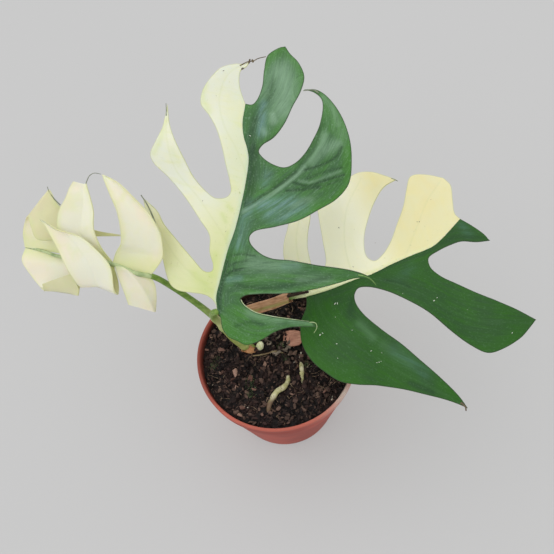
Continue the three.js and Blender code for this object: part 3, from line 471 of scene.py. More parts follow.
# %% Veins and marks of the centre leaf
CENTRE_RIB = [
    (-0.5, 0), (8, -1.6), (20, -1.8), (36, -1.2), (55, 0), (75, -0.4), (95, -3.4), (112, -4), (130, 2), (156, 0),
]
CENTRE_VEINS = [
    [(1, -1), (-3, 12), (-5, 24), (0, 38), (5, 55)],
    [(16, -2), (21, 12), (26, 28), (30, 50), (36.5, 80)],
    [(56, 0), (61.6, 6.9), (70.4, 15.7), (80.9, 24.5), (89.2, 29.9), (98, 34), (112, 36), (124, 31), (131.5, 20)],
    [(78, -1), (90, -10), (104, -22), (118, -28), (132, -26), (141, -18)],
    [(38, -1.5), (48, -12), (60, -26), (72, -42), (86, -50), (107, -58)],
    [(10, -2.5), (15, -16), (24, -31), (38, -45), (52, -59)],
]
CENTRE_GREEN_MARKS = {
    # Light marks are pale veins and painted highlights.
    "light": [
        (2.2, 0.8, [(130.1, 29.8), (124.2, 36.5), (116.3, 41.4)]),
        (2.6, 0.6, [(92.2, 32.6), (95.8, 34.9), (102.8, 36.3), (108, 35.8)]),
        (3.4, 0.6, [(99.9, 37.9), (105, 44.4)]),
        (5.0, 0.6, [(31.2, 12.4), (33.5, 26.4), (37.2, 37)]),
        (1.1, 0.9, [(57.2, 2), (65.4, 11.2), (75.4, 20.1), (85.5, 27.9), (89.2, 29.9)]),
        (1.0, 0.5, [(89.2, 29.9), (95.4, 32.9), (101.5, 34.7)]),
        (4.0, 0.3, [(123.3, 37.8), (116.6, 42.4), (111, 45.6)]),
        (2.6, 1.0, [(114.1, 4.6), (110.7, 6.1)]),
        (1.8, 0.7, [(104.4, 1.4), (102.9, 3)]),
        (8.0, 0.8, [(140, 2), (129.9, 7.8), (119, 9.1)]),
        (5.0, 0.5, [(140, -3), (134.1, -3.2), (125, -3)]),
        (2.0, 0.5, [(66, 29), (70, 33), (72, 37)]),
        (0.8, 0.5, [(80.6, 28.5), (81.5, 35), (86, 42), (91, 49.5)]),
        (3.0, 0.4, [(28.3, 41.8), (32.6, 56.5)]),
        (0.8, 0.5, [(14, 16.6), (16.7, 27.6), (21.2, 40.8)]),
        (3.0, 0.45, [(4.2, 18.9), (3.8, 26.1), (4.7, 36.4)]),
        (1.5, 0.4, [(5.1, 42), (7, 54)]),
    ],
    # Dark marks are creases, dipped in the relief and darkened as painted shade.
    "dark": [
        (2.6, 0.7, [(93.3, -0.9), (86.8, 0.9), (78.4, 2.5), (70.1, 3.5), (62.6, 3.6)]),
        (1.0, 0.7, [(63.1, 5.9), (68.1, 10.5), (72.6, 15.1), (78.9, 20.4), (85.1, 25.8)]),
        (0.65, 0.85, [(87.2, 30.4), (92, 39.1), (98.2, 45.6), (103.8, 46.9)]),
        (0.65, 0.85, [(79.2, 25.8), (79.1, 34), (83.5, 41), (89.5, 51.6)]),
        (0.8, 0.9, [(74, 23), (77.1, 32.7), (80.5, 40.1)]),
        (0.5, 0.6, [(82.7, 32.3), (86.1, 37.2), (90.1, 44.3), (93, 50.1)]),
        (0.5, 0.6, [(78.9, 39.6), (83.5, 45.8), (87.2, 51.4)]),
        (1.8, 0.6, [(117.1, 19.5), (110.5, 17.4), (102.2, 12.1), (97.1, 6.4)]),
        (2.2, 0.5, [(113.9, 32.4), (104.5, 32.2), (96.4, 29.8), (90.2, 26.8)]),
        (0.8, 0.8, [(20.4, 0.6), (23.9, 3.3), (26.5, 9.3)]),
        (0.65, 0.65, [(26.2, 1), (28.8, 4.6), (31.4, 10.6)]),
        (0.65, 0.65, [(32.2, 2), (34.2, 5.7), (35.1, 14.4)]),
        (1.6, 0.6, [(17, 8), (17.9, 18.6), (21.2, 29.4), (26.2, 42.3), (34, 57.3)]),
        (1.0, 0.4, [(-5.5, 12.5), (-1.2, 20), (-0.6, 27)]),
        (1.2, 0.5, [(28.3, 0), (14.9, -0.6), (6.3, -0.5), (-0.2, 1.6)]),
        (1.6, 0.35, [(122.1, -0.6), (127, -0.8), (133.2, -0.8)]),
    ],
    # Blue marks are painted sheen, partly the bluish bloom of the wax.
    "blue": [
        (2.6, 0.9, [(119.2, -2.7), (111.1, -1.1), (102.5, 0.7)]),
        (4.5, 0.9, [(63.2, 11.8), (64.8, 18.9), (67.8, 26.7)]),
        (4.5, 0.8, [(59.3, 17.5), (61.1, 25.7), (66.3, 32.8)]),
        (4.0, 0.7, [(61.8, 5), (50.2, 3.8), (38.8, 3.5)]),
        (3.0, 0.5, [(74.9, 9.9), (80.7, 10.7)]),
        (2.5, 0.5, [(33.7, 32), (35.9, 38.4)]),
        (2.0, 0.5, [(18.5, 2.2), (21.2, 8.8)]),
    ],
    "fresh": [
        (3.0, 1.0, [(130.1, 29.8), (124.2, 36.5), (116.3, 41.4)]),
        (3.5, 1.0, [(81.9, 54), (74.8, 50.1), (66.7, 41.1), (59.7, 31.8)]),
        (3.0, 0.8, [(102.9, 50), (95.1, 53), (87.2, 53.8)]),
        (3.0, 1.0, [(129.5, 29.4), (123.9, 35.4)]),
        (3.0, 0.5, [(151.5, 2.4), (147.4, 9.5), (139.5, 14.7)]),
        (3.5, 0.8, [(154, -1), (149.1, -5), (141, -8.6)]),
        (4.0, 0.8, [(-3.8, 5.4), (-11.3, 14.9), (-12.8, 22.4), (-7.7, 28.4)]),
        # Green that clouds the cream half
        (2.0, 0.8, [(122.8, -38.1), (116.1, -37.7), (108.1, -31.7)]),
        (2.0, 0.8, [(97.1, -55.4), (86, -54.7), (78.8, -57.1)]),
        (1.5, 0.8, [(58.5, -7.1), (56.9, -4.4)]),
        (1.2, 0.7, [(53.4, -9.3), (49.6, -6)]),
        (1.2, 0.6, [(44.5, -3.7), (39.9, -3.8)]),
        (2.5, 0.6, [(30.3, -8), (18.9, -8)]),
        (3.0, 0.5, [(16.6, -17), (12.5, -10.1)]),
        (2.0, 0.4, [(81.8, -46), (74.7, -39.7)]),
    ],
}

# %% [markdown]
# The green of a living leaf is never one green. Here it is deeper beside the midrib and a fresher yellow-green
# at the margin. Where light would catch the wax it has painted sheen, a bluish silvery tint that is partly the
# bloom of the wax itself, and the light marks are pale veins with painted highlights. The dark marks and the
# dips between veins get painted shade. The cream has no green pigment, so it shows faint yellow-green tints
# near the midrib and at the base instead.

# %% Green and cream leaf finishes
# The darkest green, which also serves as the painted shade in creases.
DEEP_GREEN = tone(30, 60, 36)


# deep, fresh and pale are the leaf's own greens, and pale also gives the painted highlights; blue is the tint of the
# painted sheen.
def green_finish(name, deep, fresh, pale, blue, gloss, shine=0.3, creased=0.1):
    finish = Finish(name, {"Specular IOR Level": shine, "IOR": 1.45})
    where = finish.layer("sheet")
    to_rib, to_vein, fresh_mark = finish.parts(finish.layer("veins"))
    vein_and_highlight_mark, crease_shade_mark, sheen_mark = finish.parts(finish.layer("marks"))
    u, v, to_edge = finish.parts(where)
    across = to_vein.math("MINIMUM", to_vein, to_rib)
    lengthwise = finish.node("ShaderNodeCombineXYZ", sockets={0: across, 1: u * 0.09, 2: v * 0.09})
    cloud = finish.mottle(where, 0.05, 3)
    grain = finish.mottle(where, 0.8, 4, 0.6)
    streak = finish.mottle(lengthwise, 0.45, 4, 0.6)
    fine_streak = finish.mottle(lengthwise, 1.5, 4, 0.7)
    crease = (finish.mottle(lengthwise, 0.25, 2) - 0.5).hill(0.02)
    colour = finish.blend(deep, fresh, cloud.step(0.4, 0.65) * 0.55 + streak.step(0.45, 0.62) * 0.4)
    colour = finish.blend(colour, fresh, fresh_mark * 0.8 + to_edge.step(4.0, 0.0) * 0.4)
    # Light marks: pale veins, and painted highlights where light would catch the blade.
    colour = finish.blend(colour, pale, vein_and_highlight_mark * (0.35 + streak * 0.9))
    colour = finish.blend(colour, fresh, fresh_mark * 0.35)
    # Painted sheen: a bluish silvery tint where the wax would reflect the sky, partly the bloom of the wax itself.
    colour = finish.blend(colour, blue, sheen_mark * (0.3 + streak.step(0.4, 0.6) * 0.6))
    # Painted shade: the dark marks and the crease noise darken the green in the creases; it is also darker beside the
    # midrib.
    colour = finish.blend(colour, DEEP_GREEN, crease_shade_mark * 0.85 + to_rib.step(4.0, 0.3) * u.step(128, 100) * 0.35 + crease * creased)
    colour = finish.blend(colour, pale, to_vein.hill(0.5) * 0.12 + grain.step(0.52, 0.72) * 0.3)
    colour = finish.blend(colour, DEEP_GREEN, fine_streak.step(0.5, 0.68) * (creased * 1.7))
    colour = finish.blend(colour, pale, fine_streak.step(0.46, 0.32) * (creased * 1.5))
    colour = finish.blend(colour, tone(46, 66, 40), to_edge.step(0.7, 0.15) * 0.7)
    roughness = gloss + (grain - 0.5) * 0.3 + cloud * 0.08
    height = grain * 0.6 + streak - crease * creased + fine_streak * (creased * 4) + finish.mottle(where, 2.6, 2) * 0.3
    return finish.set(colour, roughness, height, 0.16 * MM, 0.7)


FLESHY = {
    "Specular IOR Level": 0.35, "IOR": 1.45, "Subsurface Weight": 0.6, "Subsurface Radius": (1.0, 0.9, 0.6),
    "Subsurface Scale": 1.5 * MM,
}


def cream_finish(name, pale, warm, green, mint, painted_light_near_base, green_share=1.0):
    finish = Finish(name, FLESHY)
    where = finish.layer("sheet")
    u, v, to_edge = finish.parts(where)
    to_rib, to_vein, green_mark = finish.parts(finish.layer("veins"))
    cloud = finish.mottle(where, 0.06, 3)
    streak = finish.mottle(finish.stretched(where, (0.3, 0.06, 0)), 1.0, 3)
    fleck = finish.mottle(where, 0.5, 3, 0.6)
    colour = finish.blend(pale, warm, cloud.step(0.4, 0.65) * 0.7 + streak.step(0.45, 0.7) * 0.3)
    # Painted light: towards the base the cream turns to the near-base colour; on the right leaf that colour is lighter
    # than its cream, to lift the shade that the centre leaf casts there.
    colour = finish.blend(colour, painted_light_near_base, u.step(66, 38))
    colour = finish.blend(colour, tone(206, 212, 196), u.step(95, 150) * 0.3 * green_share)
    tint = green_mark * 0.5 + to_rib.step(24, 4) * 0.3 + u.step(70, 0) * 0.5 + streak.step(0.5, 0.75) * 0.2
    colour = finish.blend(colour, green, tint * green_share)
    colour = finish.blend(colour, mint, to_rib.step(3.4, 0.8) * 0.7)
    colour = finish.blend(colour, tone(168, 184, 112), fleck.step(0.6, 0.74) * to_rib.step(12, 2) * 0.5 * green_share)
    colour = finish.blend(colour, tone(188, 186, 138), fleck.step(0.66, 0.75) * 0.3)
    colour = finish.blend(colour, tone(200, 207, 156), to_vein.hill(0.5) * 0.22)
    colour = finish.blend(colour, tone(176, 182, 134), to_edge.step(0.5, 0.1) * 0.75)
    height = fleck * 0.6 + streak * 0.8 + finish.mottle(where, 2.6, 2) * 0.3
    return finish.set(colour, 0.44 + (fleck - 0.5) * 0.25, height, 0.16 * MM, 0.6)


centre_green = green_finish(
    "centre leaf green", tone(66, 106, 66), tone(70, 126, 48), tone(138, 172, 142), tone(112, 148, 146), 0.4,
    creased=0.16,
)
centre_green_under = green_finish(
    "centre leaf green underside", tone(92, 126, 86), tone(104, 140, 86), tone(128, 156, 120), tone(112, 140, 120), 0.55,
)
centre_cream = cream_finish(
    "centre leaf cream", tone(225, 229, 212), tone(229, 230, 202), tone(206, 217, 152), tone(212, 226, 196),
    tone(232, 231, 200),
)
centre_cream_under = cream_finish(
    "centre leaf cream underside", tone(216, 218, 190), tone(216, 214, 180), tone(198, 206, 150), tone(198, 210, 160),
    tone(216, 216, 182),
)

# %% Build the centre leaf
def two_coloured_leaf(name, blade, green, cream, colour_line, rib, veins, marks, quilt, finishes):
    """The green and the cream half of a leaf, filled as one sheet and split along the line between them."""
    border = smooth_line(colour_line, step=BLADE_CELL * 0.8)
    rib_line = smooth_line(rib, step=BLADE_CELL * 0.8)
    vein_lines = [smooth_line(vein, step=BLADE_CELL) for vein in veins]
    uv, faces, ring = fill_outline([*green, *cream], [border])
    relief, ridge, layers = veined(uv, ring, rib_line, vein_lines, marks, quilt)
    cream_ring = np.vstack([*[smooth_line(s, step=1)[:-1] for s in cream], border[::-1][:-1]])
    is_cream = is_inside(uv[faces].mean(1), cream_ring)
    for colour, chosen in (("green", ~is_cream), ("cream", is_cream)):
        title = f"{name}_{colour}"
        piece = make_blade(f"{title}_blade", blade, faces[chosen], uv, relief, ridge, layers, finishes[colour])
        settle(piece, f"leaf_{colour}", title)


two_coloured_leaf(
    "centre_leaf", centre_blade, CENTRE_GREEN, CENTRE_CREAM, CENTRE_COLOUR_LINE, CENTRE_RIB, CENTRE_VEINS,
    CENTRE_GREEN_MARKS,
    lambda uv, to_rib: 0.02 + 0.05 * np.exp(-((to_rib / 25) ** 2)) * (uv[:, 1] > -2) * (uv[:, 0] < 100),
    {
        "green": [centre_green, centre_green_under, centre_green],
        "cream": [centre_cream, centre_cream_under, centre_cream],
    },
)

# %% [markdown]
# ### Right leaf
# This leaf is held out level under the centre one. Its cream is warmer and its green is darker and smoother,
# with a big heart-shaped lobe that hangs over the front of the pot.

# %% Outline and veins of the right leaf
right_blade = Blade(
    base=(24.6, 19, 113), heading=8.7, pitch=5, roll=0, length=125, arch=6, keel=0.14,
    droop=lambda u, v: np.where(v > 0, 0.0034, 0.0026), wave_length=44, phases=(0.4, 2.5),
)
RIGHT_COLOUR_LINE = [
    (101, -12), (93, -7), (85, -2.4), (78, 0.5), (64, 1.7), (50.5, 2.9), (40, 4), (27, 2.4), (14, 2.2), (-1, -0.3),
]
RIGHT_GREEN = [
    [(-1, -0.3), (-3.5, 7.4), (-9, 14.5), (-12.4, 23), (-13, 30.5), (-11, 39.5), (-6.3, 48.3), (0, 57), (8, 62.3),
     (19.5, 66.5), (31, 72), (43, 80.5), (52, 87), (59, 92.2)],
    [(59, 92.2), (57, 86), (51, 74), (44.5, 61.7), (38.3, 49), (31, 36.5), (25.5, 25.5), (23.9, 18), (25, 12.5),
     (28.5, 9.3), (34, 11), (42, 17.7), (52, 30), (59.5, 40), (66.5, 52), (74, 62.7), (81, 69.4), (90, 70.3),
     (100, 68), (108, 63.5), (113.5, 60)],
    [(113.5, 60), (106.5, 54), (97.5, 46.8), (89.5, 38.8), (81, 28.4), (74, 19.8), (71.3, 13), (73, 6.8),
     (80, 4.3), (88, 3), (95, 2.8), (103, 6.2), (110.7, 7.5)],
    [(110.7, 7.5), (109.2, 1.5), (105.5, -5.5), (101, -12)],
]
RIGHT_CREAM = [
    [(101, -12), (99.7, -16.5), (103, -27), (106.7, -38), (105.3, -45.5)],
    [(105.3, -45.5), (98.5, -50.2), (90, -52), (85, -50.5), (79, -41.6), (72.5, -31), (64.5, -21.2), (56, -10.9),
     (49, -5.2), (43.5, -3.4), (40.3, -7.5), (42.5, -18), (51, -32.7), (60, -44.7), (68, -51.2), (76.6, -52)],
    [(76.6, -52), (71.5, -60), (66, -68), (59, -72.2), (51, -70), (38, -63.5), (24.5, -54)],
    [(24.5, -54), (22.3, -43), (19.7, -29), (16.5, -14.5), (12.2, -9.4), (8.8, -14), (9.5, -28), (13.7, -41),
     (18.4, -51), (21, -60)],
    [(21, -60), (14, -63.5), (7.5, -58), (2, -47.5), (-3.5, -37), (-6.1, -28), (-5.5, -16), (-4, -6), (-1, -0.3)],
]
RIGHT_RIB = [(-1, -0.3), (14, 2.3), (27, 2.5), (40, 4), (60, 2.6), (78, 1.5), (94, 0.5), (110, 6)]
RIGHT_VEINS = [
    [(4, 1.5), (4, 18), (12, 38), (28, 58), (44, 76), (58, 91)],
    [(34, 3.5), (46, 14), (58, 26), (72, 42), (88, 55), (110, 62)],
    [(60, 2), (74, -14), (88, -30), (103, -44)],
    [(28, 2.5), (31, -20), (40, -42), (58, -66)],
    [(6, 1), (2, -18), (5, -38), (15, -60)],
]

# %% Marks and finishes of the right leaf
RIGHT_MARKS = {
    # On this leaf the light marks are painted sheen.
    "light": [
        (2.6, 0.6, [(21.5, 30.8), (23.7, 35.9), (25.4, 40.7)]),
        (3.0, 0.35, [(29.2, 46.2), (33.7, 52.8), (39.1, 61)]),
    ],
    # Dark marks are dipped in the relief and darkened as painted shade.
    "dark": [
        (3.0, 0.6, [(22.5, 15.1), (18.1, 23.7)]),
        (1.2, 0.6, [(35.3, 70.2), (41.3, 76.6), (44.5, 79.7)]),
        (1.0, 0.6, [(44.3, 11.3), (50.4, 15.8), (55.3, 21.5)]),
        (2.0, 0.35, [(25.2, 24.3), (30.7, 37.9), (35.7, 47.9)]),
    ],
    # Blue marks are painted sheen, partly the bluish bloom of the wax.
    "blue": [
        (3.2, 0.8, [(34.3, 51.3), (39.3, 60.5), (44.2, 69.4)]),
        (3.5, 0.5, [(52.7, 13.1), (61.3, 10)]),
        (3.0, 0.7, [(100, -7), (100.9, -0.8)]),
    ],
    "fresh": [
        (7.0, 0.9, [(-9.9, 25.7), (-10.1, 36.9), (-3.8, 50.1), (4.9, 59)]),
        (3.0, 0.7, [(49.4, 77.5), (54.6, 85.4)]),
        (3.0, 0.6, [(78.8, 65.8), (88.4, 67.1), (99.9, 64.7)]),
        (2.5, 0.5, [(39.5, -30.7), (34.8, -18.1)]),
        (3.0, 0.4, [(92, -25.3), (101.9, -35.6)]),
    ],
}
right_green = green_finish(
    "right leaf green", tone(42, 82, 36), tone(44, 96, 20), tone(84, 124, 84), tone(66, 106, 84), 0.4, 0.25,
)
right_green_under = green_finish(
    "right leaf green underside", tone(84, 118, 76), tone(98, 134, 78), tone(118, 144, 116), tone(100, 130, 110), 0.55,
)
# The last colour, for near the base, is painted light.
right_cream = cream_finish(
    "right leaf cream", tone(230, 224, 182), tone(232, 222, 172), tone(224, 222, 150), tone(226, 230, 180),
    tone(253, 250, 220), 0.3,
)
right_cream_under = cream_finish(
    "right leaf cream underside", tone(216, 210, 168), tone(214, 206, 160), tone(198, 202, 142), tone(202, 206, 150),
    tone(214, 210, 166), 0.6,
)

# %% Build the right leaf
two_coloured_leaf(
    "right_leaf", right_blade, RIGHT_GREEN, RIGHT_CREAM, RIGHT_COLOUR_LINE, RIGHT_RIB, RIGHT_VEINS, RIGHT_MARKS,
    lambda uv, to_rib: 0.015 + 0.02 * np.exp(-((to_rib / 25) ** 2)),
    {
        "green": [right_green, right_green_under, right_green],
        "cream": [right_cream, right_cream_under, right_cream],
    },
)

# %% [markdown]
# ### Left leaf
# The youngest leaf is all cream and strongly curled. Its lobes fold back over one another, so one height above
# a flat sheet can't give its shape. Each lobe is a ribbon between two edges in space instead, from the midrib
# out to its tip, and the ribbons are joined into one body.

# %% Ribbons of the left leaf
LEFT_MIDRIB = [
    (-61, 30.5, 141.6), (-65, 30.5, 145), (-70, 31, 147.8), (-79, 36, 150.6), (-91, 41, 151.6), (-103, 46, 149.8),
    (-114, 52, 145.8), (-128, 64, 138), (-141, 74, 130.4),
]
# Each lobe: how far it bows out, where its crease lies across it, the share of its length past which it takes the
# shaded cream as painted shade, and rows of edge points from the midrib out to its tip.
LEFT_LOBES = {
    "broad lobe nearest the stalk": (3, None, 9, [
        [(-81, 37.5, 152), (-62, 30.5, 143)], [(-78, 41, 156), (-54, 36, 149)], [(-74, 44, 160), (-52, 41, 154)],
        [(-73, 51, 164), (-52, 47, 160)], [(-74, 61, 167), (-56, 56, 166)], [(-77, 71, 168), (-64, 67, 170)],
        [(-80, 81, 168), (-72, 78, 171)], [(-82, 89, 167)],
    ]),
    "second lobe": (3, lambda s: 0.5 + 0.2 * s, 9, [
        [(-108, 49, 149), (-81, 38, 152)], [(-111, 55, 153), (-86, 46, 156)], [(-111, 63, 158), (-89, 56, 160)],
        [(-109, 71, 162), (-88, 66, 164)], [(-104, 78, 165), (-89, 74, 167)],
        [(-101.5, 84, 166), (-90.2, 79.5, 167.8)], [(-98.8, 87, 167.6), (-90.9, 83.4, 168)],
    ]),
    "end lobe, rolled over": (0.4, None, 0.34, [
        [(-141, 73, 132), (-101, 47, 149)], [(-139, 77.5, 140), (-107, 57, 148)], [(-134.5, 80.6, 148), (-121, 79, 149)],
        [(-131, 79, 152), (-117, 92, 158)], [(-128, 70, 154), (-112, 82, 156)], [(-124, 61, 153), (-108, 78, 154)],
        [(-112, 60, 151), (-100, 70, 152)], [(-94, 60.5, 148), (-92, 64, 149)], [(-78, 59.5, 146)],
    ]),
    "short creased lobe": (3.5, lambda s: 0.12 + 0.76 * s, 9, [
        [(-80, 37, 151.5), (-62, 30, 143)], [(-79, 30, 150), (-61, 27, 138)], [(-77, 22, 146), (-61.5, 21, 134)],
        [(-76, 16, 140), (-63.5, 15, 129)],
    ]),
    "front lobe, folded back over the midrib": (2.2, lambda s: 0.35 + 0.35 * s, 9, [
        [(-111, 49, 148), (-81, 37, 151)], [(-108, 40, 145), (-79.5, 28, 147)], [(-101, 30.5, 144), (-80, 21, 145)],
        [(-102, 29.5, 148.5), (-81, 21, 150)], [(-106, 37, 155), (-81, 32, 156.5)], [(-110, 48, 158), (-88, 43, 159)],
        [(-114, 57, 160), (-97, 53, 160)], [(-117, 64, 161), (-108, 58.5, 161)], [(-120, 69, 161)],
    ]),
    "front lobe near the end": (0.4, None, 0.56, [
        [(-141, 73, 131), (-100, 46, 148.5)], [(-144, 66, 128), (-101, 42, 146)], [(-139, 56, 125), (-102, 37.5, 142.5)],
        [(-132, 45.5, 124.5), (-105, 28.5, 138.5)], [(-129.5, 42.5, 128), (-103, 30, 143.5)],
        [(-128.5, 43.5, 133), (-105.5, 37, 148.5)],
    ]),
}

# %% Young cream finish
def young_finish(name, pale, warm, tint):
    finish = Finish(name, FLESHY)
    s, t, to_edge = finish.parts(finish.layer("sheet"))
    where = finish.place()
    cloud = finish.mottle(where, 40, 3)
    patch = finish.mottle(where, 95, 3)
    fine = finish.mottle(where, 800, 3)
    colour = finish.blend(pale, warm, cloud.step(0.4, 0.62))
    colour = finish.blend(colour, tint, s.step(16, 0) * 0.7 + patch.step(0.5, 0.72) * 0.3)
    colour = finish.blend(colour, tint, to_edge.step(4.0, 0.0) * patch * 0.8)
    colour = finish.blend(colour, tone(190, 192, 140), to_edge.step(0.6, 0.1) * 0.5)
    height = finish.mottle(finish.stretched(where, (260.0, 260.0, 260.0)), 1.0, 3) * 0.8 + fine * 0.4
    return finish.set(colour, 0.45 + (patch - 0.5) * 0.15, height, 0.2 * MM, 0.5)


young_cream = young_finish("young leaf cream", tone(229, 228, 208), tone(234, 225, 205), tone(218, 224, 166))
# Painted shade: a darker olive copy of the young cream, for the under sides and for the flaps that face away from the
# light.
young_cream_shaded = young_finish(
    "young leaf cream in shade", tone(213, 211, 172), tone(210, 205, 168), tone(202, 209, 154),
)
young_rib = Finish("young leaf midrib", {"Specular IOR Level": 0.35})
rib_cloud = young_rib.mottle(young_rib.place(), 160, 3)
rib_colour = young_rib.blend(tone(188, 203, 150), tone(136, 160, 108), rib_cloud.step(0.35, 0.65))
young_rib.set(rib_colour, 0.5, young_rib.mottle(young_rib.place(), 900, 2), 0.1 * MM, 0.5)

# %% Build the left leaf
def ribbon(edges, bow, crease, rows, columns):
    """Points of one lobe: a grid between two smooth edges, bowed out across, with its width at each row and the shares
    across.
    """
    pairs = [np.array(pair, float) for pair in edges]
    if len(pairs[-1]) == 1:
        out = pairs[-2][1] - pairs[-2][0]
        out *= 0.35 / np.linalg.norm(out)
        pairs[-1] = np.array([pairs[-1][0] - out, pairs[-1][0] + out])
    stations = np.linspace(0, len(pairs) - 1, rows + 1)
    a = station_line([p[0] for p in pairs], stations)
    b = station_line([p[1] for p in pairs], stations)
    t = np.linspace(0, 1, columns + 1)
    flat = a[:, None] * (1 - t)[None, :, None] + b[:, None] * t[None, :, None]
    width = np.linalg.norm(b - a, axis=1)
    over = np.repeat((b - a)[:, None], columns + 1, axis=1)
    onwards = np.gradient(flat, axis=0)
    off = np.cross(over, onwards)
    off /= np.maximum(np.linalg.norm(off, axis=2), 1e-9)[..., None]
    shares = np.linspace(0, 1, rows + 1)
    folds = np.array([crease(s) if crease else 0.5 for s in shares])[:, None]
    bend = np.minimum(t / folds, (1 - t) / (1 - folds)) if crease else (4 * t * (1 - t))[None].repeat(rows + 1, 0)
    narrowing = (np.minimum(width / 20, 1) * np.minimum(shares / 0.16, 1))[:, None]
    return flat - off * (bow * narrowing * bend)[..., None], width, t


def station_line(points, stations):
    """A smooth line through points, read at station numbers, so that paired edges stay paired."""
    given = np.array(points, float)
    ends = np.vstack([2 * given[0] - given[1], given, 2 * given[-1] - given[-2]])
    i = np.minimum(stations.astype(int), len(given) - 2)
    t = (stations - i)[:, None]
    p0, p1, p2, p3 = (ends[i + k] for k in range(4))
    return 0.5 * (2 * p1 + (p2 - p0) * t + (2 * p0 - 5 * p1 + 4 * p2 - p3) * t**2 + (3 * p1 - p0 - 3 * p2 + p3) * t**3)


def sheet_of(grid, thickness):
    """Both sides of a grid of points, with the faces of one side; close_sheet closes them."""
    du, dv = np.gradient(grid, axis=0), np.gradient(grid, axis=1)
    off = np.cross(dv, du)
    off /= np.maximum(np.linalg.norm(off, axis=2), 1e-9)[..., None]
    rows, columns = grid.shape[:2]
    cell = np.arange(rows * columns).reshape(rows, columns)
    a, b, c, d = (cell[:-1, :-1].ravel(), cell[:-1, 1:].ravel(), cell[1:, 1:].ravel(), cell[1:, :-1].ravel())
    faces = np.vstack([np.column_stack([a, d, c]), np.column_stack([a, c, b])])
    points = np.vstack([(grid + off * thickness / 2).reshape(-1, 3), (grid - off * thickness / 2).reshape(-1, 3)])
    return points, faces, rows * columns


def left_leaf():
    lobes = []
    for number, (bow, crease, shaded_from, edges) in enumerate(LEFT_LOBES.values()):
        rows, columns = 12 * len(edges), 22
        grid, width, t = ribbon(edges, bow, crease, rows, columns)
        points, faces, count = sheet_of(grid, 0.6)
        closed, kinds = close_sheet(faces, count)
        # On these two lobes the side in view takes the lighter cream and the other side the shaded copy.
        if number in (3, 5):
            kinds = [(1, 0, 2)[kind] for kind in kinds]
        # Painted shade: faces past this share of the lobe's length take the shaded cream, on both sides.
        depth = np.mean(np.array([face[:3] for face in closed]) % count // (columns + 1), axis=1) / rows
        kinds = np.where(depth > shaded_from, 1, kinds)
        s = np.linspace(0, 60, rows + 1)[:, None].repeat(columns + 1, 1)
        across = (t[None] - 0.5) * width[:, None]
        flat = np.stack([s, across, width[:, None] / 2 - np.abs(across)], axis=2).reshape(-1, 3)
        lobe = new_piece(
            f"lobe_{number}", points, closed, [young_cream, young_cream_shaded, young_cream], kinds,
            {"sheet": np.vstack([flat, flat])},
        )
        lobes.append(lobe)
    return lobes


lobes = left_leaf()

# %% [markdown]
# ## Stem and leaf stalks
# The stem leans out of the soil and the three stalks leave it near its top. They grew as one, so tubes that
# only pass through one another would show hard creases at the forks. They are remeshed together and smoothed
# instead, which gives the soft fillets of a grown joint.

# %% Tubes
def tube(points, radius, steps, sides=20):
    """A round tube along a smooth line, with rounded ends; radius(t) follows it from start to end."""
    line = smooth_line(points, count=steps)
    along = np.gradient(line, axis=0)
    along /= np.linalg.norm(along, axis=1)[:, None]
    across = np.cross(along[0], [0, 0, 1.0])
    if np.linalg.norm(across) < 0.2:
        across = np.cross(along[0], [0, 1.0, 0])
    rings = []
    for i, (centre, direction) in enumerate(zip(line, along)):
        across = across - direction * (across @ direction)
        across /= np.linalg.norm(across)
        lift = np.cross(across, direction)
        turn = np.linspace(0, 2 * np.pi, sides, endpoint=False)
        r = radius(i / steps)
        rings.append(centre + r * (np.outer(np.cos(turn), across) + np.outer(np.sin(turn), lift)))
    caps = [line[0] - along[0] * radius(0) * 0.5, line[-1] + along[-1] * radius(1) * 0.5]
    points = np.vstack([*rings, caps])
    faces = []
    for i in range(steps):
        for k in range(sides):
            a, b = i * sides + k, i * sides + (k + 1) % sides
            faces.append((a, a + sides, b + sides, b))
    first, last = len(points) - 2, len(points) - 1
    end = steps * sides
    faces += [(first, k, (k + 1) % sides) for k in range(sides)]
    faces += [(last, end + (k + 1) % sides, end + k) for k in range(sides)]
    return points, faces


def gather(shapes):
    """Several shapes as one list of points and one of faces."""
    points, faces, start = [], [], 0
    for shape_points, shape_faces in shapes:
        points.append(shape_points)
        faces += [tuple(index + start for index in face) for face in shape_faces]
        start += len(shape_points)
    return np.vstack(points), faces

# %% Stem and stalks
def swelling(t, at, height=0.6, width=0.045):
    return height * math.exp(-(((t - at) / width) ** 2))


STEM = [
    (-9, 9.5, 66), (-13.3, 8.4, 70), (-15.8, 7.7, 76), (-20.4, 7.6, 85), (-24.4, 9, 93), (-27.6, 11.5, 100),
    (-30, 13, 107),
]
LEFT_STALK = [
    (-27, 12, 101), (-34, 18, 108), (-40, 23, 113), (-47, 27.5, 120), (-54, 30.5, 129), (-59, 31, 138),
    (-62, 30.5, 143),
]
CENTRE_STALK = [(-28.5, 12.5, 103), (-32.5, 13.5, 113), (-31.5, 12.3, 121), (-28.3, 9.5, 127.4)]
RIGHT_STALK = [(-27.5, 13, 103), (-19, 18, 102), (-8, 20.5, 103), (3, 21, 105), (14, 21, 109), (24.6, 19.2, 112.6)]
RIGHT_STRIPE = right_blade.at(np.array([(-1.5, -0.3), (7, 1.4), (14, 2.2), (21, 2.4), (30, 2.7), (39, 3.9)], float))

stalks = [
    tube(STEM, lambda t: 3.0 + swelling(t, 0.42) + swelling(t, 0.9) - 0.4 * t, 60),
    tube(LEFT_STALK, lambda t: 2.0 + 0.6 * (1 - t) ** 4 - 0.3 * t + swelling(t, 0.0, 0.5, 0.08), 70),
    tube(CENTRE_STALK, lambda t: 1.9 + 0.35 * math.sin(math.pi * t), 40),
    tube(RIGHT_STALK, lambda t: 1.9 + 0.5 * (1 - t) ** 4 - 0.35 * t, 70),
    tube(RIGHT_STRIPE, lambda t: 1.5 - 0.9 * t, 60),
]

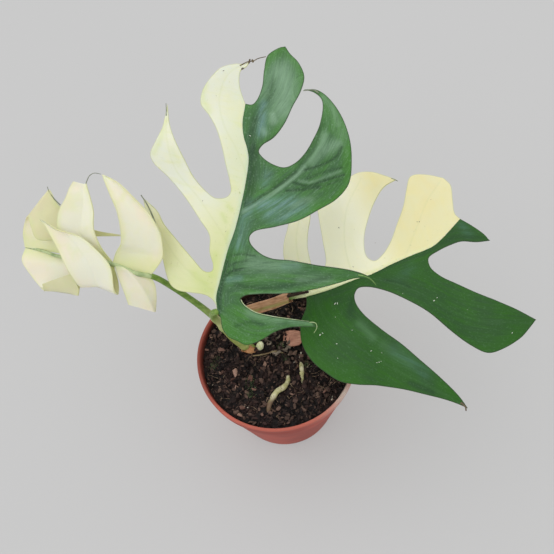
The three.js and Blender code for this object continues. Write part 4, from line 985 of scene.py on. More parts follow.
# %% Stem finish
stem_finish = Finish("living stem", {"Specular IOR Level": 0.4})
stem_place = stem_finish.place()
stem_x, stem_y, stem_z = stem_finish.parts(stem_place)
stem_cloud = stem_finish.mottle(stem_place, 110, 3)
stem_streak = stem_finish.mottle(stem_finish.stretched(stem_place, (150.0, 700.0, 500.0)), 1.0, 3)
stem_grain = stem_finish.mottle(stem_place, 1200, 2)
stem_colour = stem_finish.blend(tone(92, 128, 40), tone(124, 154, 66), stem_streak.step(0.35, 0.65))
yellowed = stem_finish.blend(tone(166, 176, 92), tone(184, 182, 116), stem_streak.step(0.4, 0.6))
stem_colour = stem_finish.blend(stem_colour, yellowed, stem_z.step(0.108, 0.092) * 0.6 + stem_cloud.step(0.55, 0.7) * 0.3)
knee = (stem_x + 0.0305).hill(0.006) * (stem_z - 0.108).hill(0.009)
stem_colour = stem_finish.blend(stem_colour, tone(196, 198, 140), knee * 0.7)
# The pale stripe at the base of the right leaf's midrib, brightened past its own cream as painted light against the
# shade of the centre leaf.
stripe_with_painted_light = stem_x.step(0.012, 0.026)
stem_colour = stem_finish.blend(stem_colour, tone(240, 243, 196), stripe_with_painted_light)
stem_colour = stem_finish.blend(stem_colour, tone(190, 206, 120), stripe_with_painted_light * stem_y.step(0.019, 0.0165) * 0.6)
stem_finish.set(stem_colour, 0.42 + (stem_cloud - 0.5) * 0.2, stem_streak + stem_grain * 0.3, 0.2 * MM, 0.5)

# %% Join the stalks
stem = new_piece("stem_and_stalks", *gather(stalks), [stem_finish])
remesh = stem.modifiers.new("join", "REMESH")
remesh.mode = "VOXEL"
remesh.voxel_size = 0.42 * MM
remesh.use_smooth_shade = True
soften = stem.modifiers.new("soften", "SMOOTH")
soften.factor = 0.5
soften.iterations = 5
apply_modifiers(stem)
stem.data.materials.clear()
stem.data.materials.append(stem_finish.material)
settle(stem, "stem", "stem_with_leaf_stalks")
print("joined stem:", len(stem.data.polygons), "faces")

# %% [markdown]
# ### Papery sheaths, bud and husk
# The plant is a climber that drops its old wrappers late, so brown papery sheaths still sit on the right stalk
# and at the foot of the stem. A solidify modifier on an open tube would give them an even rim, but paper tears,
# so the ends of these wraps run in and out by a ragged amount and the wall is wavy.

# %% Papery wraps
def papery_finish(name, base, light, dark, streak=None):
    finish = Finish(name, {"Specular IOR Level": 0.25})
    along, around, to_edge = finish.parts(finish.layer("sheet"))
    fibres = finish.mottle(finish.stretched(finish.layer("sheet"), (0.12, 1.6, 0)), 1.0, 4, 0.6)
    patch = finish.mottle(finish.place(), 160, 3)
    colour = finish.blend(base, light, fibres.step(0.4, 0.65))
    if streak:
        colour = finish.blend(colour, streak, (around - 10.4 + fibres * 2).hill(1.1) * 0.75)
    colour = finish.blend(colour, dark, patch.step(0.52, 0.75) * 0.8 + to_edge.step(0.8, 0.0) * 0.6)
    return finish.set(colour, 0.7, fibres + patch * 0.4, 0.35 * MM, 0.8)


stalk_paper = papery_finish("stalk sheath paper", tone(192, 142, 106), tone(220, 174, 140), tone(150, 102, 72), tone(150, 156, 84))
stem_paper = papery_finish("stem sheath paper", tone(214, 150, 100), tone(226, 178, 130), tone(160, 106, 72))
bark_paper = papery_finish("dry husk skin", tone(186, 132, 112), tone(208, 158, 136), tone(140, 92, 74))


def wrap(name, line, radius, opening, gap, finish, seed, rows=70, columns=56, wave=0.25):
    """A torn wrap round a line: it leaves a gap, in radians, towards the opening direction."""
    torn = np.random.default_rng(seed)
    path = smooth_line(line, count=rows)
    along = np.gradient(path, axis=0)
    along /= np.linalg.norm(along, axis=1)[:, None]
    front = opening - along * (along @ opening)[:, None]
    front /= np.linalg.norm(front, axis=1)[:, None]
    across = np.cross(along, front)
    share = np.linspace(0, 1, columns + 1)
    turn = gap / 2 + (2 * np.pi - gap) * share
    ragged = np.interp(share, np.linspace(0, 1, 15), torn.uniform(-1.1, 0.7, 15))
    t = np.linspace(0, 1, rows + 1)[:, None]
    r = radius(t) + wave * np.sin(3 * turn + 5 * t) * (0.4 + t) + 0.15 * np.sin(9 * turn)
    grid = path[:, None] + r[..., None] * (
        np.cos(turn)[None, :, None] * front[:, None] + np.sin(turn)[None, :, None] * across[:, None]
    )
    step = np.linalg.norm(np.diff(path, axis=0), axis=1).mean()
    reach = np.clip((t - 0.85) / 0.15, 0, 1) - np.clip((0.12 - t) / 0.12, 0, 1)
    grid += along[:, None] * (reach * ragged[None, :])[..., None]
    points, faces, count = sheet_of(grid, 0.35)
    closed, kinds = close_sheet(faces, count)
    lengthwise = (t * rows * step).repeat(columns + 1, 1)
    around = (turn[None] * radius(t)).repeat(1, 0)
    to_edge = np.minimum.reduce([
        lengthwise, rows * step - lengthwise, share[None] * 12 + 0 * t, (1 - share[None]) * 12 + 0 * t,
    ])
    flat = np.stack([lengthwise, around + 0 * t, to_edge], axis=2).reshape(-1, 3)
    return new_piece(name, points, closed, [finish], layers={"sheet": np.vstack([flat, flat])})


def part_of(line, start, end):
    fine = smooth_line(line, count=200)
    return fine[round(200 * start):round(200 * end) + 1:8]


stalk_sheath = wrap(
    "stalk_sheath", part_of(RIGHT_STALK, 0.2, 0.8), lambda t: 3.5 - 0.6 * t, np.array([0, 0.9, -0.4]), 0.5,
    stalk_paper, 5,
)
settle(stalk_sheath, "dry_sheath", "right_stalk_sheath")
stem_sheath = wrap(
    "stem_foot_sheath", part_of(STEM, 0.16, 0.42), lambda t: 3.6 - 0.1 * t, np.array([0.6, 0.8, 0.1]), 2.6,
    stem_paper, 8, rows=50,
)
settle(stem_sheath, "dry_sheath", "stem_sheath")

# %% Bud and husk
bud_finish = Finish("young shoot skin", {"Specular IOR Level": 0.45})
bud_place = bud_finish.place()
bud_streak = bud_finish.mottle(bud_finish.stretched(bud_place, (900.0, 900.0, 120.0)), 1.0, 3)
bud_colour = bud_finish.blend(tone(248, 250, 212), tone(226, 234, 172), bud_streak.step(0.4, 0.65))
bud_colour = bud_finish.blend(bud_colour, tone(150, 140, 96), bud_finish.parts(bud_place)[2].step(0.0755, 0.0735))
bud_finish.set(bud_colour, 0.4, bud_streak, 0.25 * MM, 0.6)


def turned(profile, sides, groove=None):
    """A closed shape turned round the upright axis from [radius, height] points that start and end on it."""
    turn = np.linspace(0, 2 * np.pi, sides, endpoint=False)
    rings = []
    for r, z in profile[1:-1]:
        radii = r * (1 + (groove(turn, z) if groove else 0 * turn))
        rings.append(np.column_stack([radii * np.cos(turn), radii * np.sin(turn), np.full(sides, z)]))
    ends = np.array([(0, 0, profile[0][1]), (0, 0, profile[-1][1])])
    faces = []
    for i in range(len(rings) - 1):
        for k in range(sides):
            a, b = i * sides + k, i * sides + (k + 1) % sides
            faces.append((a, b, b + sides, a + sides))
    last = (len(rings) - 1) * sides
    low, high = len(rings) * sides, len(rings) * sides + 1
    faces += [(low, (k + 1) % sides, k) for k in range(sides)]
    faces += [(high, last + k, last + (k + 1) % sides) for k in range(sides)]
    return np.vstack([*rings, ends]), faces


bud_profile = smooth_line([(0, 0), (1.5, 0.1), (2.25, 1.8), (2.4, 3.8), (2.1, 5.8), (1.3, 7.8), (0.5, 8.8), (0, 9)], step=0.22)
bud_points, bud_faces = turned(bud_profile, 48, lambda turn, z: 0.035 * np.cos(5 * turn + z) + 0.03 * np.cos(turn))
lean = Matrix.Rotation(0.25, 3, "Y")
bud_points = bud_points @ np.array(lean).T + [-10.6, 7.6, 73.2]
settle(new_piece("pale_bud", bud_points, bud_faces, [bud_finish]), "shoot", "young_shoot")

HUSK_RING = [
    [(0, -5.2), (5, -5.8), (10, -5), (13, -2.6), (13.2, 2), (11, 5), (5.5, 5.6), (0, 4.6)],
    [(0, 4.6), (-0.6, 1.5), (0.4, -1.5), (0, -5.2)],
]
husk_uv, husk_faces, husk_ring = fill_outline(HUSK_RING, [], cell=0.7)
u, v = husk_uv[:, 0], husk_uv[:, 1]
slope = np.radians(38) * (1 - 0.04 * u)
crinkle = 0.25 * np.sin(1.1 * v + 0.4 * u) + 0.15 * np.sin(2.3 * u)
husk_middle = np.column_stack([
    5.4 + u * np.cos(slope), 10.6 - v - 0.1 * u, 73.4 - 0.035 * v * v + u * np.sin(slope) + crinkle,
])
husk_edge = distance_to(husk_uv, np.vstack([husk_ring, husk_ring[:1]]))
husk_closed, husk_kinds = close_sheet(husk_faces, len(husk_uv))
husk_layer = np.column_stack([husk_uv, husk_edge])
husk = new_piece(
    "loose_husk", np.vstack([husk_middle + [0, 0, 0.2], husk_middle - [0, 0, 0.2]]), husk_closed, [bark_paper],
    layers={"sheet": np.vstack([husk_layer, husk_layer])},
)
settle(husk, "husk", "dry_husk")

# %% [markdown]
# ## Pot
# The pot is injection-moulded plastic in a terracotta colour: a tapered wall, a stepped band under the rim and
# drain holes in the foot. A turned profile gives the wall and its small rounded edges, and the holes are cut
# with a Boolean. Handling has scuffed it and dust sits on one side of the rim. The inside wall above the soil is
# darker, the top of the rim has painted light, and the left side painted shade.

# %% Pot finish
pot_finish = Finish("terracotta plastic", {"Specular IOR Level": 0.25})
pot_place = pot_finish.place()
pot_x, pot_y, pot_z = pot_finish.parts(pot_place)
pot_cloud = pot_finish.mottle(pot_place, 28, 3)
pot_fine = pot_finish.mottle(pot_place, 400, 4, 0.6)
pot_scuff = pot_finish.mottle(pot_finish.stretched(pot_place, (60.0, 60.0, 500.0)), 1.0, 3, 0.6)
out_from_axis = (pot_x * pot_x + pot_y * pot_y) ** 0.5
pot_colour = pot_finish.blend(tone(175, 76, 61), tone(154, 63, 50), pot_cloud.step(0.4, 0.62))
pot_colour = pot_finish.blend(pot_colour, tone(132, 62, 50), pot_scuff.step(0.55, 0.75) * 0.45)
# Painted light: the top of the rim is lighter.
pot_colour = pot_finish.blend(pot_colour, tone(196, 112, 96), pot_z.step(0.0775, 0.0795) * 0.6)
# The inside wall above the soil is darker.
darker_inner_wall = pot_z.step(0.0785, 0.0765) * (out_from_axis - pot_z * 0.176).step(0.0350, 0.0343)
pot_colour = pot_finish.blend(pot_colour, tone(56, 36, 30), darker_inner_wall * (0.5 + pot_cloud * 0.9))
dusty = (pot_x - 0.0345).hill(0.008) * (pot_y + 0.0345).hill(0.010) * pot_z.step(0.070, 0.079)
pot_colour = pot_finish.blend(pot_colour, tone(214, 206, 194), dusty * (0.5 + pot_fine * 1.2))
worn = (pot_x - 0.027).hill(0.012) * (pot_y + 0.039).hill(0.012) * pot_z.step(0.064, 0.074)
pot_colour = pot_finish.blend(pot_colour, tone(206, 140, 124), worn * 0.6)
# Painted shade: the left side of the pot is darker.
pot_colour = pot_finish.blend(pot_colour, tone(112, 52, 42), pot_x.step(-0.034, -0.049) * 0.6)
pot_rough = 0.48 + pot_scuff * 0.15 + dusty * 0.3
pot_finish.set(pot_colour, pot_rough, pot_scuff * 0.7 + pot_fine * 0.5, 0.15 * MM, 0.6)

# %% Pot
POT_PROFILE = [
    (0, 0.6), (20, 0.6), (31.6, 0.6), (32.2, 0.1), (32.8, 0), (33.8, 0), (34.6, 0.35), (35.1, 1.1), (36, 5.4),
    (38.7, 20), (42.6, 40), (46.2, 60), (47.6, 71.8), (47.9, 72.8), (48.6, 73.2), (49.2, 73.4), (49.6, 73.9),
    (49.7, 75.5), (49.8, 77.6), (50, 78.4), (50, 79.1), (49.7, 79.7), (49.2, 80), (48.7, 79.95), (48.2, 79.6),
    (48, 79), (47.4, 76), (46.2, 72.6), (44.7, 60), (41.1, 40), (37.4, 20), (34.4, 4), (33.9, 2.9), (32.8, 2.4),
    (20, 2.4), (0, 2.4),
]
fine_profile = [POT_PROFILE[0]]
for start, end in zip(POT_PROFILE[:-1], POT_PROFILE[1:]):
    parts = max(1, round(math.dist(start, end) / 4))
    fine_profile += [tuple(np.add(start, np.subtract(end, start) * (k + 1) / parts)) for k in range(parts)]
pot = new_piece("nursery_pot", *turned(fine_profile, 192), [pot_finish])
holes = []
for k in range(6):
    angle = math.radians(60 * k)
    points, faces = turned([(0, -1), (3, -1), (3, 0.8), (3, 2.2), (3, 4), (0, 4)], 32)
    holes.append((points + [24 * math.cos(angle), 24 * math.sin(angle), 0], faces))
drill = new_piece("drill", *gather(holes), [pot_finish])
cut = pot.modifiers.new("drain holes", "BOOLEAN")
cut.operation = "DIFFERENCE"
cut.solver = "MANIFOLD"
cut.object = drill
apply_modifiers(pot)
bpy.data.objects.remove(drill)
pot.data.shade_smooth()
pot.data.set_sharp_from_angle(angle=math.radians(35))
settle(pot, "pot", "pot")

# %% [markdown]
# ## Potting mix
# The mix is dark peat with crumbs, bark chips and root fibres. A bump on a flat disc would look painted, so its
# top is a mesh with clods, and a second mesh of loose crumbs lies over it. Fibres, chips and tufts of moss come
# on top. They are few enough to be real geometry.

# %% Soil finish
def soil_finish(name, dark, brown, light):
    finish = Finish(name, {"Specular IOR Level": 0.3})
    where = finish.place()
    cloud = finish.mottle(where, 70, 4, 0.6)
    fine = finish.mottle(where, 420, 4, 0.7)
    specks = finish.mottle(where, 900, 2)
    tint = finish.parts(finish.layer("tint"))
    colour = finish.blend(dark, brown, cloud.step(0.45, 0.62) * 0.4 + tint[0])
    colour = finish.blend(colour, light, fine.step(0.62, 0.78) * 0.45 + tint[1] + specks.step(0.66, 0.76) * 0.5)
    return finish.set(colour, 0.85 - fine * 0.25, fine + specks * 0.5, 0.8 * MM, 0.9)


peat = soil_finish("potting mix", tone(17, 12, 12), tone(62, 42, 38), tone(128, 102, 88))
grey_clod = soil_finish("grey clods", tone(88, 78, 68), tone(140, 125, 110), tone(176, 164, 146))
bark = soil_finish("bark chips", tone(58, 38, 32), tone(112, 78, 66), tone(168, 134, 118))

# %% Soil
def soil_height(x, y):
    mound = 1.6 * np.exp(-((x + 10) ** 2 + (y - 6) ** 2) / 500)
    crumbs = np.sin(0.71 * x + 1.3) * np.sin(0.63 * y + 0.4) + 0.6 * np.sin(0.37 * x - 0.52 * y + 2)
    edge = np.hypot(x, y) / 46
    return 73.5 + mound + 1.1 * crumbs * (1 - 0.5 * edge**6) - 1.2 * edge**8 + 2.4 * edge**5


def clods(x, y):
    """Fine relief of the crumbled top, in millimetres."""
    heights = []
    for a, b in zip(x, y):
        spot = Vector((a * 0.33, b * 0.33, 0.5))
        cells = noise.voronoi(spot)[0]
        heights.append(1.5 * (cells[1] - cells[0]) + 1.1 * noise.fractal(spot * 1.7, 1, 2, 4) - 0.4)
    return np.array(heights)


turn = np.linspace(0, 2 * np.pi, 24, endpoint=False)
brim = [(46.7 * math.cos(a), 46.7 * math.sin(a)) for a in turn]
soil_uv, soil_faces, soil_ring = fill_outline([[*brim, brim[0]]], [], cell=1.0)
top_z = soil_height(soil_uv[:, 0], soil_uv[:, 1]) + clods(soil_uv[:, 0], soil_uv[:, 1])
rim_count = len(soil_ring)
order = [int(np.argmin(np.linalg.norm(soil_uv - p, axis=1))) for p in soil_ring]
side_z = [60, 40, 20, 4]
soil_points = [np.column_stack([soil_uv, top_z])]
soil_sides = []
above = np.array(order)
start = len(soil_uv)
for z in side_z:
    r = 33.3 + 0.1755 * z
    soil_points.append(np.column_stack([soil_ring / 46.7 * r, np.full(rim_count, z)]))
    below = np.arange(start, start + rim_count)
    soil_sides += [
        (above[k], below[k], below[(k + 1) % rim_count], above[(k + 1) % rim_count]) for k in range(rim_count)
    ]
    above, start = below, start + rim_count
soil_points.append(np.array([[0, 0, side_z[-1]]]))
soil_sides += [(start, above[(k + 1) % rim_count], above[k]) for k in range(rim_count)]
soil_piece = new_piece(
    "potting_mix", np.vstack(soil_points), [*soil_faces.tolist(), *soil_sides], [peat],
    layers={"tint": np.zeros((start + 1, 3))},
)
settle(soil_piece, "soil", "soil")

# %% Crumbs, chips and fibres
def pebble(size, flat, rng):
    """An uneven little lump: a rounded solid with each corner pushed in or out."""
    ball = bmesh.new()
    bmesh.ops.create_icosphere(ball, subdivisions=1, radius=1)
    points = np.array([tuple(p.co) for p in ball.verts])
    faces = [tuple(p.index for p in f.verts) for f in ball.faces]
    ball.free()
    points *= rng.uniform(0.65, 1.25, (len(points), 1))
    points *= np.array([1.15, rng.uniform(0.35, 0.85), flat]) * size
    spin = Matrix.Rotation(rng.uniform(0, 6.3), 3, "Z") @ Matrix.Rotation(rng.uniform(-0.5, 0.5), 3, "X")
    return points @ np.array(spin).T, faces


def scatter(name, count, size, flat, finish, slot, spread=45.5, places=None, lift=0.25, glow=(0.5, 0.3)):
    shapes, tints = [], []
    for k in range(count):
        if places:
            x, y = places[k % len(places)] + chance.normal(0, 1.5, 2)
        else:
            r, a = spread * math.sqrt(chance.uniform()), chance.uniform(0, 2 * np.pi)
            x, y = r * math.cos(a), r * math.sin(a)
        s = size[0] + (size[1] - size[0]) * chance.uniform() ** 3
        points, faces = pebble(s, chance.uniform(*flat), chance)
        ground = soil_height(x, y) + 0.3
        shapes.append((points + [x, y, ground + lift * s], faces))
        tints.append(np.repeat([[chance.uniform() ** 2 * glow[0] * 2, chance.uniform() ** 4 * glow[1] * 2, 0]], len(points), 0))
    points, faces = gather(shapes)
    piece = new_piece(name, points, faces, [finish], layers={"tint": np.vstack(tints)}, smooth=False)
    return settle(piece, slot)


scatter("soil_crumbs", 3600, (0.3, 1.9), (0.4, 0.9), peat, "soil", glow=(0.4, 0.35))
scatter("bark_chips", 60, (0.9, 3.0), (0.25, 0.5), bark, "soil", lift=0.3, glow=(0.5, 0.5))
PINK_BITS = [np.array(p) for p in ((-30.3, -16.5), (-26.6, -16.5), (-36, -3.4), (-6.3, -5.3), (-13.2, -28.6), (-33, 8), (12, 20))]
GREY_CLODS = [np.array(p) for p in ((-5.4, 12.2), (-2, 8), (2.4, 12.2), (4.6, 4.7), (8.5, 5.4), (-2.1, 17.3), (-0.1, 3.5), (6.7, 1.6))]
scatter("grey_clods", 34, (1.0, 3.0), (0.4, 0.8), grey_clod, "soil", places=GREY_CLODS, lift=0.35)
scatter("pinkish_bark_bits", 14, (0.8, 2.0), (0.3, 0.6), bark, "soil", places=PINK_BITS, glow=(0.8, 0.8))

fibre_finish = Finish("root fibres", {"Specular IOR Level": 0.3})
fibre_cloud = fibre_finish.mottle(fibre_finish.place(), 240, 3)
fibre_colour = fibre_finish.blend(tone(66, 50, 40), tone(156, 134, 110), fibre_cloud.step(0.42, 0.66))
fibre_finish.set(fibre_colour, 0.8, fibre_cloud, 0.1 * MM, 0.5)
fibres = []
for _ in range(110):
    r, a = 44 * math.sqrt(chance.uniform()), chance.uniform(0, 2 * np.pi)
    heading, length = chance.uniform(0, 2 * np.pi), chance.uniform(3, 11)
    line = []
    for k in range(5):
        x = r * math.cos(a) + math.cos(heading + chance.normal(0, 0.35)) * length * (k / 4 - 0.5)
        y = r * math.sin(a) + math.sin(heading + chance.normal(0, 0.35)) * length * (k / 4 - 0.5)
        reach = min(1, 44.5 / max(math.hypot(x, y), 1))
        line.append((x * reach, y * reach, soil_height(x * reach, y * reach) + 0.6 + chance.uniform(-0.4, 0.9)))
    thick = chance.uniform(0.1, 0.26)
    fibres.append(tube(line, lambda t: thick * (1 - 0.5 * t), 10, 5))
settle(new_piece("root_fibres", *gather(fibres), [fibre_finish]), "soil")

# %% Moss and pale bits
moss_finish = Finish("moss", {"Specular IOR Level": 0.2})
moss_cloud = moss_finish.mottle(moss_finish.place(), 500, 3)
moss_colour = moss_finish.blend(tone(58, 70, 50), tone(112, 124, 88), moss_cloud.step(0.4, 0.62))
moss_finish.set(moss_colour, 0.9, moss_cloud, 0.5 * MM, 0.9)
MOSS = [(-41.5, -1.2), (-38.5, 3.8), (-39.5, 1), (-18.7, -13.3), (-19.4, -17), (-19.9, -22.9), (4.9, -1.8), (3, 6.9), (17, -9)]
tufts = []
for x, y in MOSS:
    for _ in range(60):
        dx, dy = chance.normal(0, 1.3, 2)
        base = np.array([x + dx, y + dy, soil_height(x + dx, y + dy) + 0.2])
        tip = base + [chance.normal(0, 0.5), chance.normal(0, 0.5), chance.uniform(0.6, 1.6)]
        tufts.append(tube([base, (base + tip) / 2 + [0.1, 0, 0], tip], lambda t: 0.22 * (1 - 0.7 * t), 3, 4))
settle(new_piece("moss_tufts", *gather(tufts), [moss_finish]), "soil")

grit_finish = Finish("pale grit", {"Specular IOR Level": 0.3})
grit_cloud = grit_finish.mottle(grit_finish.place(), 700, 3)
grit_colour = grit_finish.blend(tone(150, 138, 122), tone(206, 198, 182), grit_cloud.step(0.4, 0.6))
grit_finish.set(grit_colour, 0.85, grit_cloud, 0.3 * MM, 0.8)
GRIT = [np.array(p) for p in ((28.7, -31.9), (-22.9, -32.7), (-42.4, -11.8), (-3, 2), (14, -6), (18, -12))]
scatter("pale_grit", 26, (0.35, 1.0), (0.5, 0.9), grit_finish, "soil", places=GRIT, lift=0.6)

# %% Surface roots
root_finish = Finish("surface roots", {"Specular IOR Level": 0.35})
root_place = root_finish.place()
root_cloud = root_finish.mottle(root_place, 220, 3)
root_grain = root_finish.mottle(root_place, 1100, 3)
root_colour = root_finish.blend(tone(214, 208, 172), tone(186, 182, 128), root_cloud.step(0.4, 0.62))
root_colour = root_finish.blend(root_colour, tone(84, 62, 48), root_grain.step(0.56, 0.7) * 0.6)
brown_end = root_finish.parts(root_place)[1].step(-0.026, -0.031)
root_colour = root_finish.blend(root_colour, tone(104, 76, 58), brown_end * 0.9)
root_finish.set(root_colour, 0.6, root_grain + root_cloud, 0.4 * MM, 0.8)
thin_root_finish = Finish("thin brown root", {"Specular IOR Level": 0.35})
thin_cloud = thin_root_finish.mottle(thin_root_finish.place(), 300, 3)
thin_colour = thin_root_finish.blend(tone(112, 92, 66), tone(142, 128, 94), thin_cloud.step(0.4, 0.62))
thin_root_finish.set(thin_colour, 0.65, thin_cloud, 0.3 * MM, 0.7)


def surface_root(name, path, thickness, finish, node):
    line = [(x, y, soil_height(x, y) + lift) for x, y, lift in path]
    knobs = lambda t: thickness / 2 * (0.75 + 0.35 * math.sin(math.pi * t) + 0.05 * math.sin(23 * t) + 0.04 * math.sin(41 * t + 1))
    settle(new_piece(name, *tube(line, knobs, 90, 18), [finish]), "root", node)


surface_root("pale_root", [
    (5, -14, -1.2), (4.4, -17.5, 1), (1.5, -21.5, 1.5), (-3, -24, 1.5), (-6, -27, 1.4), (-8.5, -30.5, 1.1), (-10.5, -35, -0.5),
], 3.1, root_finish, "surface_root_pale")
surface_root("short_root", [
    (14.5, -4, -1.5), (14.3, -7, 0.8), (14, -12, 1.1), (13.2, -16.5, 0.6), (12.8, -19.5, -1.5),
], 2.5, root_finish, "surface_root_short")
surface_root("thin_root", [
    (-18, 3, -0.6), (-14.5, 2, 0.9), (-7, 2, 1), (0, 2, 0.9), (5.5, 0.4, 0.8), (8.5, -1.2, -0.6),
], 0.95, thin_root_finish, "surface_root_thin")

# %% [markdown]
# ## Tips, threads and flecks
# The lobes end in fine drip tips, a dried thread still ties two lobes of the centre leaf together, and there are
# flecks on the leaves. They are tiny, but the eye reads them as life, so each is a small solid of its own.

# %% Tips and threads
def plain_finish(name, first, second, roughness=0.55):
    finish = Finish(name, {"Specular IOR Level": 0.3})
    cloud = finish.mottle(finish.place(), 420, 3)
    return finish.set(finish.blend(first, second, cloud.step(0.35, 0.65)), roughness, cloud, 0.1 * MM, 0.5)


pale_tip = plain_finish("pale drip tips", tone(196, 208, 172), tone(164, 186, 128))
green_tip = plain_finish("green drip tips", tone(98, 140, 66), tone(150, 178, 112))
brown_tip = plain_finish("dried tips", tone(96, 84, 66), tone(126, 112, 92), 0.7)
dark_tip = plain_finish("dark dry tongue", tone(64, 48, 34), tone(44, 30, 22), 0.7)
grey_tip = plain_finish("grey rolled tips", tone(112, 120, 100), tone(138, 144, 122), 0.6)


def whisker(name, line, thick, thin, finish, slot, steps=24):
    piece = new_piece(name, *tube(line, lambda t: thick + (thin - thick) * t, steps, 8), [finish])
    return settle(piece, slot)


def on_blade(blade, uv, lift=0.0):
    return blade.at(np.array(uv, float)) + [0, 0, lift]


whisker("centre_lobe_hook", on_blade(centre_blade, [(38.8, 72), (39.1, 75.1), (38.6, 78), (37.6, 80.4), (36, 82.6)], 0.1), 0.45, 0.2, green_tip, "leaf_green")
whisker("front_lobe_hook", on_blade(centre_blade, [(7, 52.5), (7.5, 54.6), (7.2, 56.2), (5, 57.1), (1.9, 56.2)], 0.1), 0.26, 0.12, pale_tip, "leaf_green")
whisker("front_lobe_margin", on_blade(centre_blade, [(7.4, 52), (6.2, 42), (5, 30), (5, 21.5), (7.4, 14.6), (9.6, 12.2)]), 0.16, 0.26, pale_tip, "leaf_green", 60)
whisker("high_lobe_hook", on_blade(centre_blade, [(131.6, 26.5), (132.6, 24), (132.5, 21.8), (131.3, 17.6)]), 0.5, 0.22, grey_tip, "leaf_green")
whisker("cream_lobe_spike", on_blade(centre_blade, [(101, -56.2), (104, -57.4), (109, -59.6)]), 0.35, 0.15, grey_tip, "leaf_cream")
whisker("dried_thread", on_blade(centre_blade, [(137.9, -21.3), (141.4, -17.7), (142.4, -15.1), (144.7, -12.8), (147, -8.8)], 0.3), 0.3, 0.22, brown_tip, "leaf_cream")
whisker("rolled_tip", on_blade(centre_blade, [(54, -62), (50.6, -57.6), (46.4, -53.2), (41.6, -49.2), (37.2, -46)], 0.2), 0.3, 0.55, grey_tip, "leaf_cream", 40)
whisker("right_lobe_hook", on_blade(right_blade, [(56.5, 88.8), (57.6, 90.4), (58.1, 91.6), (57.6, 93.2)]), 0.65, 0.35, brown_tip, "leaf_green")
whisker("cream_lobe_tip", on_blade(right_blade, [(74.4, -54.6), (76, -52.2), (77, -50.4)]), 0.35, 0.2, grey_tip, "leaf_cream")
whisker("left_leaf_drip", [(-91.2, 83.3, 168), (-90.2, 85.7, 168.5), (-88.9, 88.2, 168.7), (-86.4, 90, 168.3), (-82.6, 89.2, 167.4)], 0.28, 0.15, grey_tip, "young_leaf_cream")
whisker("dry_tongue", [(12.4, 20.2, 112.3), (15.2, 20, 113.1), (20, 19.8, 114), (25, 19.6, 114.9)], 0.95, 0.75, dark_tip, "dry_sheath")

whisker("end_lobe_edge", [(-117.6, 94, 158.8), (-116.6, 90.5, 158.2), (-113.5, 85, 157.2), (-110.5, 81, 156)], 0.2, 0.4, grey_tip, "young_leaf_cream")

# %% Flecks
white_fleck = plain_finish("white flecks", tone(214, 220, 206), tone(186, 198, 176), 0.8)
brown_fleck = plain_finish("brown flecks", tone(84, 72, 54), tone(110, 98, 74), 0.8)


def flecks(name, blade, places, finish, slot):
    """Small flat scales on a blade: (u, v, size) each."""
    shapes = []
    for u, v, size in places:
        spot = np.array([[u, v]])
        points, faces = pebble(size, 0.35, chance)
        shapes.append((points + blade.at(spot)[0] + blade.out_of(spot)[0] * 0.3, faces))
    return settle(new_piece(name, *gather(shapes), [finish]), slot)


flecks("right_leaf_flecks", right_blade, [
    (12.6, 13.7, 0.9), (14, 14, 0.7), (-1.6, 28, 0.7), (0, 27.7, 0.6), (5.3, 37.3, 0.5), (21.7, 47.4, 0.5), (64.5, 33.7, 0.6),
    (66.9, 32.4, 0.5), (96.4, 64.4, 0.5), (22.4, 54.4, 0.4), (23.6, 54.4, 0.4), (24.8, 54.4, 0.4), (10, 22, 0.3), (16, 33, 0.3),
    (27, 50, 0.3), (3, 45, 0.3), (50, 24, 0.3), (80, 44, 0.3),
], white_fleck, "leaf_green")
flecks("centre_leaf_fleck", centre_blade, [(99.5, -4.8, 0.7)], white_fleck, "leaf_green")
flecks("cream_flecks_centre", centre_blade, [
    (132.8, -29.5, 0.6), (136.5, -19.4, 0.8), (141.9, -17, 1.8), (142.6, -15.4, 1.5), (58, -22, 0.3), (44.5, -5, 0.35), (118, -30, 0.25),
], brown_fleck, "leaf_cream")
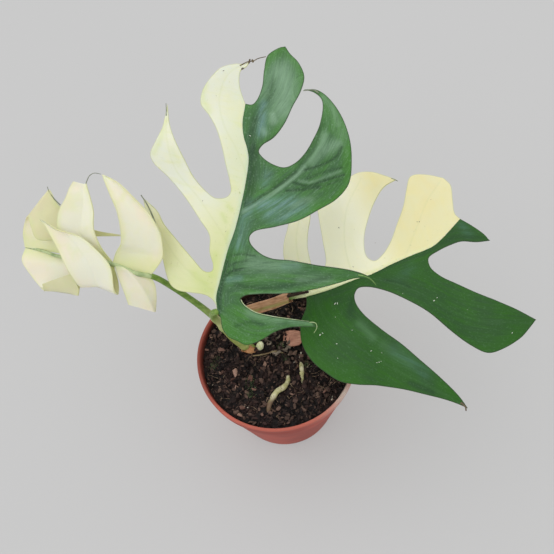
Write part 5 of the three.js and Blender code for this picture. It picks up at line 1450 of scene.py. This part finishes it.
flecks("cream_flecks_right", right_blade, [
    (31.7, -32.5, 0.6), (76, -17.7, 0.4), (77.2, -17.2, 0.4), (30.6, -4.7, 0.4), (20, -8, 0.25), (90, -30, 0.25), (48, -14, 0.25),
], brown_fleck, "leaf_cream")

# %% Join the left leaf
midrib = new_piece("left_leaf_midrib", *tube(LEFT_MIDRIB, lambda t: 1.45 - 0.75 * t, 90, 16), [young_rib])
left = lobes[0]
for lobe in lobes[1:]:
    join = left.modifiers.new("join", "BOOLEAN")
    join.operation = "UNION"
    join.solver = "MANIFOLD"
    join.object = lobe
apply_modifiers(left)
for lobe in lobes[1:]:
    bpy.data.objects.remove(lobe)
left.name = "left_leaf_lobes"
left.data.shade_smooth()
left.data.set_sharp_from_angle(angle=math.radians(50))
print("left leaf:", len(left.data.polygons), "faces")
settle(left, "young_leaf_cream", "left_leaf_cream")
settle(midrib, "young_leaf_cream")

# %% [markdown]
# ## Floor and light
# The plant stands on a plain pale floor that also gives off a little light of its own. The sky is brighter high
# on the left, which gives the faint shadow to the right of the pot and the sheen on the waxy leaves, and is even
# elsewhere.

# %% Floor and light
floor_finish = Finish("pale floor", {"Specular IOR Level": 0.0, "Emission Color": (0.28, 0.28, 0.28, 1), "Emission Strength": 1})
floor_cloud = floor_finish.mottle(floor_finish.place(), 3, 2)
floor_finish.set(floor_finish.blend(tone(146, 146, 146), tone(149, 149, 149), floor_cloud), 0.9)
floor = new_piece(
    "floor", [(-3000, -3000, 0), (3000, -3000, 0), (3000, 3000, 0), (-3000, 3000, 0)], [(0, 1, 2, 3)], [floor_finish],
)

sky = bpy.data.worlds.new("studio")
sky.use_nodes = True
studio = Recipe(sky.node_tree)
lamp_side = Vector((-0.45, 0.2, 0.87)).normalized()
facing = studio.node("ShaderNodeVectorMath", {"operation": "DOT_PRODUCT"}, {0: studio.node("ShaderNodeTexCoord", out=0), 1: tuple(lamp_side)}, out=1)
brightness = facing.math("MAXIMUM", facing, 0.0) ** 3.0 * 0.7 + 0.82
backdrop = sky.node_tree.nodes["Background"]
backdrop.inputs["Color"].default_value = (1, 1, 1, 1)
studio.feed(backdrop.inputs["Strength"], brightness)
bpy.context.scene.world = sky
bpy.context.scene.view_settings.view_transform = "Standard"
